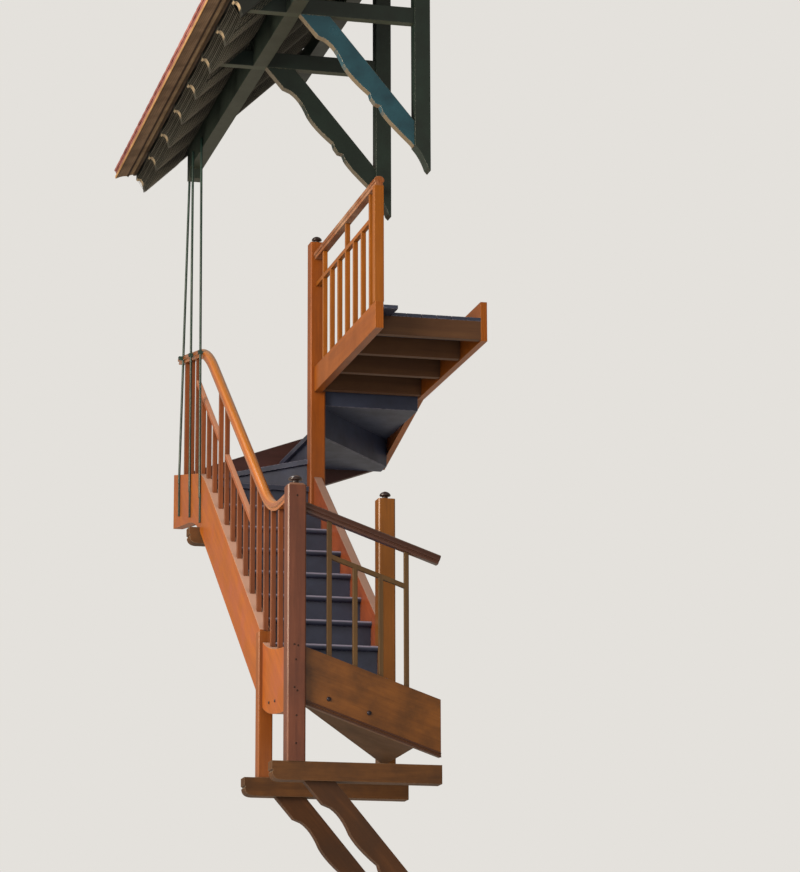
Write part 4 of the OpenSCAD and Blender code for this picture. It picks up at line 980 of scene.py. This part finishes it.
# Threads that run across the rafters are bent six times in each bay, and those that run up the slope
# three times. Each set is a grid that loses its edges in the other direction.
fine = add(net_tree, "ShaderNodeMath", {0: bay_count.outputs["Value"], 1: 6.0, 2: 2.0},
           operation="MULTIPLY_ADD")
threads = []
for count_x, count_y, removed in ((given.outputs["Strands"], fine.outputs["Value"], "X"),
                                  (4, across_count.outputs["Value"], "Y")):
    grid = add(net_tree, "GeometryNodeMeshGrid", {"Size X": extent.outputs["X"],
               "Size Y": extent.outputs["Y"], "Vertices X": count_x, "Vertices Y": count_y})
    ends = add(net_tree, "GeometryNodeInputMeshEdgeVertices")
    step = add(net_tree, "ShaderNodeVectorMath", {0: ends.outputs["Position 1"],
               1: ends.outputs["Position 2"]}, operation="SUBTRACT")
    step_parts = add(net_tree, "ShaderNodeSeparateXYZ", {"Vector": step.outputs["Vector"]})
    step_size = add(net_tree, "ShaderNodeMath", {0: step_parts.outputs[removed]}, operation="ABSOLUTE")
    crossing = add(net_tree, "FunctionNodeCompare", {"A": step_size.outputs["Value"], "B": 0.0005},
                   data_type="FLOAT", operation="GREATER_THAN")
    strands = add(net_tree, "GeometryNodeDeleteGeometry", {"Geometry": grid.outputs["Mesh"],
                  "Selection": crossing.outputs["Result"]}, domain="EDGE", mode="EDGE_FACE")
    threads.append(strands.outputs["Geometry"])
both_ways = add(net_tree, "GeometryNodeJoinGeometry")
for strand in threads:
    net_tree.links.new(strand, both_ways.inputs["Geometry"])
# The net rises with the slope, fans out with the eaves and hangs in a shallow swag in each bay
flat = add(net_tree, "GeometryNodeInputPosition")
flat_parts = add(net_tree, "ShaderNodeSeparateXYZ", {"Vector": flat.outputs["Position"]})
risen = add(net_tree, "ShaderNodeMath", {0: flat_parts.outputs["X"], 1: given.outputs["Slope"]},
            operation="MULTIPLY")
centre = add(net_tree, "ShaderNodeSeparateXYZ", {"Vector": middle.outputs[1]})
true_y = add(net_tree, "ShaderNodeMath", {0: flat_parts.outputs["Y"], 1: centre.outputs["Y"]},
             operation="ADD")
phase = add(net_tree, "ShaderNodeMath", {0: true_y.outputs["Value"], 1: given.outputs["First"]},
            operation="SUBTRACT")
turns = add(net_tree, "ShaderNodeMath", {0: phase.outputs["Value"], 1: given.outputs["Bay"]},
            operation="DIVIDE")
angle = add(net_tree, "ShaderNodeMath", {0: turns.outputs["Value"], 1: math.pi}, operation="MULTIPLY")
swing = add(net_tree, "ShaderNodeMath", {0: angle.outputs["Value"]}, operation="SINE")
slack = add(net_tree, "ShaderNodeMath", {0: swing.outputs["Value"]}, operation="ABSOLUTE")
drop = add(net_tree, "ShaderNodeMath", {0: slack.outputs["Value"], 1: given.outputs["Sag"]},
           operation="MULTIPLY")
level_z = add(net_tree, "ShaderNodeMath", {0: risen.outputs["Value"], 1: drop.outputs["Value"]},
              operation="SUBTRACT")
from_centre = add(net_tree, "ShaderNodeMath", {0: true_y.outputs["Value"], 1: given.outputs["Middle"]},
                  operation="SUBTRACT")
fanned_x = add(net_tree, "ShaderNodeMath", {0: from_centre.outputs["Value"], 1: given.outputs["Fan"],
               2: flat_parts.outputs["X"]}, operation="MULTIPLY_ADD")
fanned_z = add(net_tree, "ShaderNodeMath", {0: from_centre.outputs["Value"], 1: given.outputs["Fan_Slope"],
               2: level_z.outputs["Value"]}, operation="MULTIPLY_ADD")
hung = add(net_tree, "ShaderNodeCombineXYZ", {"X": fanned_x.outputs["Value"],
           "Y": flat_parts.outputs["Y"], "Z": fanned_z.outputs["Value"]})
moved = add(net_tree, "ShaderNodeVectorMath", {0: hung.outputs["Vector"], 1: middle.outputs[1]},
            operation="ADD")
draped = add(net_tree, "GeometryNodeSetPosition", {"Geometry": both_ways.outputs["Geometry"],
             "Position": moved.outputs["Vector"]})
lines = add(net_tree, "GeometryNodeMeshToCurve", {"Mesh": draped.outputs["Geometry"]})
round_cord = add(net_tree, "GeometryNodeCurvePrimitiveCircle", {"Resolution": 3,
                 "Radius": given.outputs["Thread"]}, mode="RADIUS")
corded = add(net_tree, "GeometryNodeCurveToMesh", {"Curve": lines.outputs["Curve"],
             "Profile Curve": round_cord.outputs["Curve"], "Fill Caps": True})
real = add(net_tree, "GeometryNodeRealizeInstances", {"Geometry": corded.outputs["Mesh"]})
finished = add(net_tree, "GeometryNodeSetMaterial", {"Geometry": real.outputs["Geometry"],
               "Material": given.outputs["Finish"]})
add(net_tree, "NodeGroupOutput", {"Geometry": finished.outputs["Geometry"]})


def under_rafter(x):
    """Height of the undersides of the rafters, which meet the outside of the eaves plate at 4.600."""
    return 4.600 + (x - outer_face) * roof_slope


# The panels lie between the eaves plate and its neighbours. Each has its outer and inner edge as X and the
# height over the undersides, its two ends, and how much it fans out. The last follows the rafter feet.
net_start, net_end = -0.020, 3.634
panels = (("front", -1.122, -0.004, -0.880, -0.004, net_start, 0.140, roof_splay),
          ("middle", -1.122, -0.004, -0.880, -0.004, 0.210, 1.097, roof_splay),
          ("back", -1.122, -0.004, -0.898, -0.004, 1.167, net_end, roof_splay),
          ("inner", -0.766, -0.004, -0.098, -0.004, net_start, net_end, 0.0),
          ("eaves", foot_x - 0.004, 0.143796, foot_x + 0.048, 0.00645, net_start, net_end, roof_splay))
for panel, x0, over0, x1, over1, y0, y1, fan in panels:
    z0, z1 = under_rafter(x0) + over0, under_rafter(x1) + over1
    sheet = mesh_piece("net_sheet", [(x0, y0, z0), (x1, y0, z1), (x1, y1, z1), (x0, y1, z0)],
                       [(0, 1, 2, 3)])
    net = grow(panel + "_bird_net", net_tree, sheet, Mesh=mesh_size,
               Strands=1 + round(math.hypot(x1 - x0, z1 - z0) / mesh_size), Slope=(z1 - z0) / (x1 - x0),
               Fan=fan, Fan_Slope=fan * roof_slope, Middle=roof_middle, Thread=thread_radius, Sag=sag,
               First=first_rafter, Bay=rafter_bay, Finish=net_cord)
    set_outward(net)
    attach(net, "root")
